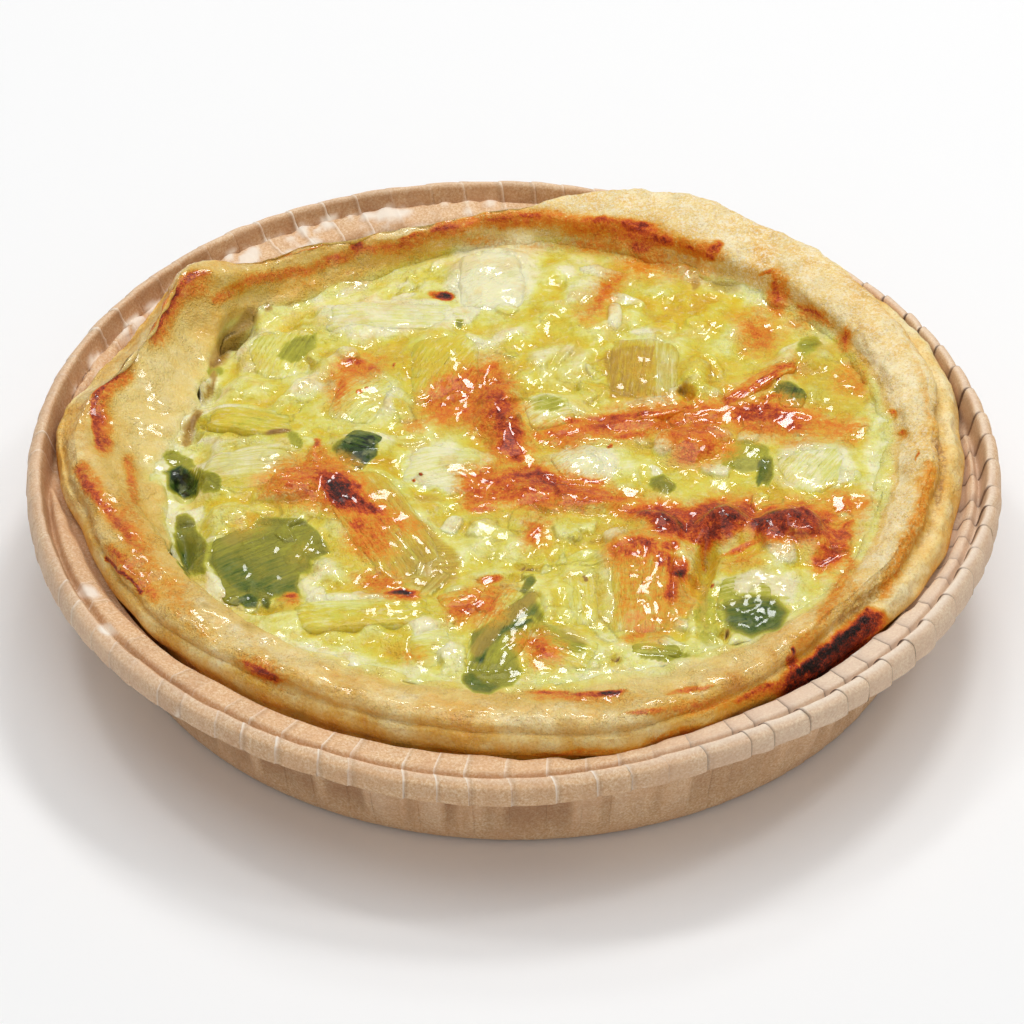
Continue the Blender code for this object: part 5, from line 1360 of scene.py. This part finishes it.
def disc_grid(cells):
    """Points of a square grid bent to fill a disc of radius 1 evenly, row by row."""
    line = np.linspace(-1, 1, cells + 1)
    x, y = np.meshgrid(line, line)
    longest = np.maximum(np.abs(x), np.abs(y))
    wide = np.abs(x) >= np.abs(y)
    with np.errstate(divide="ignore", invalid="ignore"):
        angle = np.where(wide, np.pi / 4 * y / x, np.pi / 2 - np.pi / 4 * x / y)
    angle = np.where(longest == 0, 0, angle)
    sign = np.where(wide, np.sign(x), np.sign(y))
    return longest * np.cos(angle) * sign, longest * np.sin(angle) * sign


def shards():
    """Slivers of leek under the custard's skin: place, half sizes, turn, height, slopes, tone and fibre."""
    rng = np.random.default_rng(8)
    for _ in range(SHARD_COUNT):
        reach, angle = SHARD_REACH * np.sqrt(rng.random()), 2 * np.pi * rng.random()
        yield (reach * np.cos(angle), reach * np.sin(angle), rng.uniform(1.4, 4.2), rng.uniform(0.8, 2.3),
               rng.uniform(0, 180), rng.uniform(0.10, 0.45), rng.normal(0, 0.08), rng.normal(0, 0.10),
               rng.uniform(-0.9, 0.7), rng.uniform(0.1, 0.9))


def piece_gap(piece, x, y):
    """Distance in millimetres from a piece's outline, negative inside it, and the piece's own u and v."""
    u, v = turned(x - piece.x, y - piece.y, piece.turn)
    direction = np.degrees(np.arctan2(v / piece.half_width, u / piece.half_length))
    reach = ring_curve(piece_outline(piece), direction)
    share = np.hypot(u / piece.half_length, v / piece.half_width) / reach
    return (share - 1) * min(piece.half_length, piece.half_width), u, v


def blurred(values, reach):
    """Average of a grid of values over the cells within reach, taken twice."""
    for axis in (0, 1, 0, 1):
        wide = np.pad(values, [(reach, reach) if i == axis else (0, 0) for i in (0, 1)], mode="edge")
        count = values.shape[axis]
        values = sum(np.take(wide, range(k, k + count), axis) for k in range(2 * reach + 1)) / (2 * reach + 1)
    return values


def custard_start():
    """The custard's surface, level or hollow in its middle and climbing the pastry at its edge."""
    x, y = disc_grid(FILL_CELLS)
    degrees, share = np.degrees(np.arctan2(y, x)), np.hypot(x, y)
    fill, level = ring_curve(FILL_EDGE, degrees), ring_curve(FILL_LEVEL, degrees)
    room = ring_curve(CRUST_EDGE, degrees) - fill
    climb = 0.9 + 1.3 * noise(EDGE_NOISE_RADIUS * compass(degrees), 4.5, 57)
    climb = soft_step(0.965, 1.0, share) * np.clip(climb, 0, np.clip(0.5 * room - 0.7, 0, 2.0))
    climb = climb * (1 - 0.4 * side_share(degrees, *LOW_CLIMB_SIDE))
    rise = np.minimum((ring_curve(CRUST_TOP, degrees) - 0.7 - level) / room, 1.6)
    radius = share * (fill + 0.7) + climb
    x, y = radius * np.cos(np.radians(degrees)), radius * np.sin(np.radians(degrees))
    return x, y, custard_height(x, y) + 0.76 * rise * climb


def with_shards(x, y, z, inner):
    """Raise slivers of leek; gives the height, the change of tone, the fibres and the slivers' directions."""
    wobble = 0.10 * noise(np.stack([x, y, 0 * x], -1), 1.4, 53)
    tone_shift, fibre, along, across = 0 * x, 0.15 + 0 * x, x, y
    for sx, sy, half_length, half_width, turn, height, slope_u, slope_v, tone, threads in shards():
        u, v = turned(x - sx, y - sy, turn)
        away = span(u / half_length, v / half_width, 3)
        rest = float(custard_height(np.array(sx), np.array(sy))) + height
        cover = (1 - soft_step(0.76, 1.06, away + wobble)) * (away < 1.3) * inner
        lift = np.clip(rest + slope_u * u + slope_v * v - z, -0.25, 0.7) * cover
        z = z + lift
        share = cover * soft_step(0.0, 0.2, lift)
        tone_shift = tone_shift * (1 - share) + tone * share
        fibre = fibre * (1 - share) + threads * share
        along = np.where(share > 0.4, u, along)
        across = np.where(share > 0.4, v, across)
    return z, tone_shift, fibre, along, across


def drawn_up(x, y, z):
    """Draw the custard up or down to the larger pieces, unevenly along their edges."""
    cover = np.clip(0.85 + 0.7 * noise(np.stack([x, y, 0 * x], -1), 2.6, 54), 0, 1.25)
    inward = 1.0 + 0.8 * soft_step(0.7, 1.2, cover)
    for piece in PIECES:
        gap, u, v = piece_gap(piece, x, y)
        top = piece_rest(piece) + piece.slope_u * u + piece.slope_v * v - 0.45 * piece.crown - 0.15
        band = np.exp(-(gap / np.where(gap > 0, 1.6, inward)) ** 2)
        z = z + band * np.minimum(cover, 1.0) * np.clip(top - z, -0.5, 2.0)
        z = z + band * 0.2 * np.maximum(cover - 1.0, 0)
    return z


def custard_surface():
    """Points of the custard's top with its values for the material."""
    x, y, z = custard_start()
    flat = np.stack([x, y, 0 * x], -1)
    inner = 1 - soft_step(0.95, 1.0, fill_share(x, y))
    z = z + inner * (0.40 * noise(flat, 6.5, 51) + 0.10 * noise(flat, 2.4, 52))
    z = z + (1 - inner) * 0.22 * noise(flat, 1.7, 58)
    for height, share in strokes(np.stack([x, y, z], -1), RELIEF, 0.25, 1.15):
        z = z + height * share
    z, tone_shift, fibre, along, across = with_shards(x, y, z, inner)
    z = drawn_up(x, y, z) + inner * 0.04 * layered(flat, 1.1, 55, 2)
    z = z + inner * painted(np.stack([x, y, z], -1))["height"]
    grid = np.stack([x, y, z], -1)
    paint = painted(grid)
    del paint["height"]
    # Painted shade and light: crevices of the surface turn deeper yellow and darker, its ridges paler
    cavity = np.clip((z - blurred(z, 5)) / 0.30, -1, 1) * inner
    border = soft_step(0.90, 1.0, fill_share(x, y))
    paint["tone"] = paint["tone"] + tone_shift - 0.5 * cavity - 0.5 * border
    paint["shade"] = np.maximum(paint["shade"], 0.12 * soft_step(0.25, 1.0, -cavity))
    paint.update(fibre=fibre, along=along * METRES, across=across * METRES)
    return grid, paint


def custard_body(grid):
    """Close the custard's surface with a skirt that leans in and an underside; gives its points and faces."""
    rows = len(grid)
    index = np.arange(rows * rows).reshape(rows, rows)
    quads = np.stack([index[:-1, :-1], index[:-1, 1:], index[1:, 1:], index[1:, :-1]], -1).reshape(-1, 4)
    border = np.concatenate([index[0, :-1], index[:-1, -1], index[-1, :0:-1], index[:0:-1, 0]])
    surface = grid.reshape(-1, 3)
    low = surface[border] * (SKIRT_LEAN, SKIRT_LEAN, 1) - (0, 0, SKIRT_DEPTH)
    points = np.concatenate([surface, low, [[0, 0, FILL_UNDERSIDE]]])
    lower = rows * rows + np.arange(len(border))
    skirt = np.stack([border, lower, np.roll(lower, -1), np.roll(border, -1)], -1)
    floor = np.stack([lower, np.full_like(lower, len(points) - 1), np.roll(lower, -1)], -1)
    return points, list(quads) + list(skirt) + list(floor)


def make_custard(material):
    """Custard at full detail: lumps, slivers of leek under its skin, and its browning."""
    grid, paint = custard_surface()
    points, faces = custard_body(grid)
    spare = np.zeros(len(points) - grid[..., 0].size)
    attributes = {key: np.concatenate([value.ravel(), spare]) for key, value in paint.items()}
    custard = build_mesh("custard_baked", points, faces, attributes)
    custard.data.materials.append(material)
    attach(custard, "root")
    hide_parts("custard_filling")
    return custard


def piece_shape(piece):
    """Points of a piece and its own flat coordinates: upright sides, then rings that shrink over its top."""
    t = np.arange(PIECE_POINTS) * 2 * np.pi / PIECE_POINTS
    c, s = np.cos(t), np.sin(t)
    around = np.stack([3 * c + piece.x, 3 * s + piece.y, 0 * t], -1)
    reach = ring_curve(piece_outline(piece), np.degrees(t)) * span(c, s, piece.square)
    reach = reach / span(c, s, piece.square + 1.6) * (1 + 0.06 * layered(around, 1.6, 60, 3))
    share = np.concatenate([np.ones(SIDE_RINGS), np.linspace(1, 0.02, TOP_RINGS)])[:, None]
    drop = np.concatenate([np.linspace(-piece.thickness, -0.6, SIDE_RINGS), np.zeros(TOP_RINGS)])[:, None]
    u, v = share * reach * c * piece.half_length, share * reach * s * piece.half_width
    flat = np.stack([u + 7 * piece.x, v + 7 * piece.y, 0 * u], -1)
    plane = piece_rest(piece) + piece.slope_u * u + piece.slope_v * v
    round_off = piece.crown * (0.5 * share ** 2 + 0.3 * share ** 5) + 0.35 * soft_step(0.88, 1.0, share)
    top = plane - round_off + 0.16 * layered(flat, 4.2, 62, 2) + 0.02 * noise(flat, 0.8, 63)
    z = np.where(drop < 0, plane - 0.8 * piece.crown - 0.35 + drop, top)
    x, y = turned(u, v, -piece.turn)
    return np.stack([x + piece.x, y + piece.y, z], -1), flat, u, v


def make_piece(piece, material):
    """One piece of leek or onion: a sloped slab with a rounded, uneven top, sunk in the custard."""
    grid, flat, u, v = piece_shape(piece)
    paint = painted(grid)
    del paint["height"]
    paint["green"] = np.maximum(paint["green"], 0.9 * piece.green + 0.06 * noise(flat, 2.5, 64))
    paint["toast"] = (paint["toast"] ** 3 + (0.6 * piece.toast) ** 3) ** (1 / 3)
    paint["tone"] = 0.8 * paint["tone"] + 0.3 * piece.tone
    paint["tan"] = np.maximum(paint["tan"], 0.5 * piece.tan)
    along, across = turned(u, v, piece.fibre_turn)
    ribs = 0.2 if piece.green > 0.5 else 1.0
    paint.update(fibre=ribs + 0 * u, along=along * METRES, across=across * METRES)
    attributes = {key: with_ends(value, 0, value[-1].mean()) for key, value in paint.items()}
    underside = (piece.x, piece.y, piece_rest(piece) - piece.thickness - 0.5)
    points = with_ends(grid, underside, grid[-1].mean(0))
    thing = build_mesh(piece.name + "_cooked", points, ring_faces(*grid.shape[:2]), attributes)
    thing.data.materials.append(material)
    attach(thing, "root")
    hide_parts(piece.name)
    return thing


def aim(thing, target):
    """Turn a lamp towards a point."""
    thing.rotation_euler = (Vector(target) - thing.location).to_track_quat("-Z", "Y").to_euler()


def make_floor():
    """A plain pale floor."""
    bpy.ops.mesh.primitive_plane_add(size=FLOOR_SIZE, location=(0, 0, FLOOR_HEIGHT))
    floor = bpy.context.object
    floor.name = "pale_floor"
    material, shader = new_material("pale_floor_paint")
    plug(material, shader, Base_Color=linear("#F4F4F4"), Roughness=0.9)
    floor.data.materials.append(material)


def make_lights():
    """Soft studio light."""
    world = bpy.data.worlds.new("studio")
    world.use_nodes = True
    background = world.node_tree.nodes["Background"]
    background.inputs["Color"].default_value = (1, 1, 1, 1)
    background.inputs["Strength"].default_value = ROOM_LIGHT
    bpy.context.scene.world = world
    for name, place, size, power in LAMPS:
        light = bpy.data.lights.new(name, "AREA")
        light.size = size
        light.energy = power
        lamp = bpy.data.objects.new(name, light)
        lamp.location = place
        aim(lamp, LAMP_TARGET)
        bpy.context.scene.collection.objects.link(lamp)


def make_camera():
    """The camera at the photograph's view."""
    camera = bpy.data.objects.new("camera", bpy.data.cameras.new("camera"))
    camera.data.lens = VIEW_LENS
    camera.data.sensor_width = SENSOR_WIDTH
    camera.location = (view_axes()[0] - MIDDLE) * METRES
    camera.rotation_euler = (np.radians(90 - VIEW_ELEVATION), 0, 0)
    bpy.context.scene.collection.objects.link(camera)
    bpy.context.scene.camera = camera
    bpy.context.scene.view_settings.view_transform = "Standard"


make_floor()
make_lights()
make_camera()
make_tray(paper_material())
make_crust(crust_material())
make_custard(custard_material())
leek = leek_material()
for piece in PIECES:
    make_piece(piece, leek)
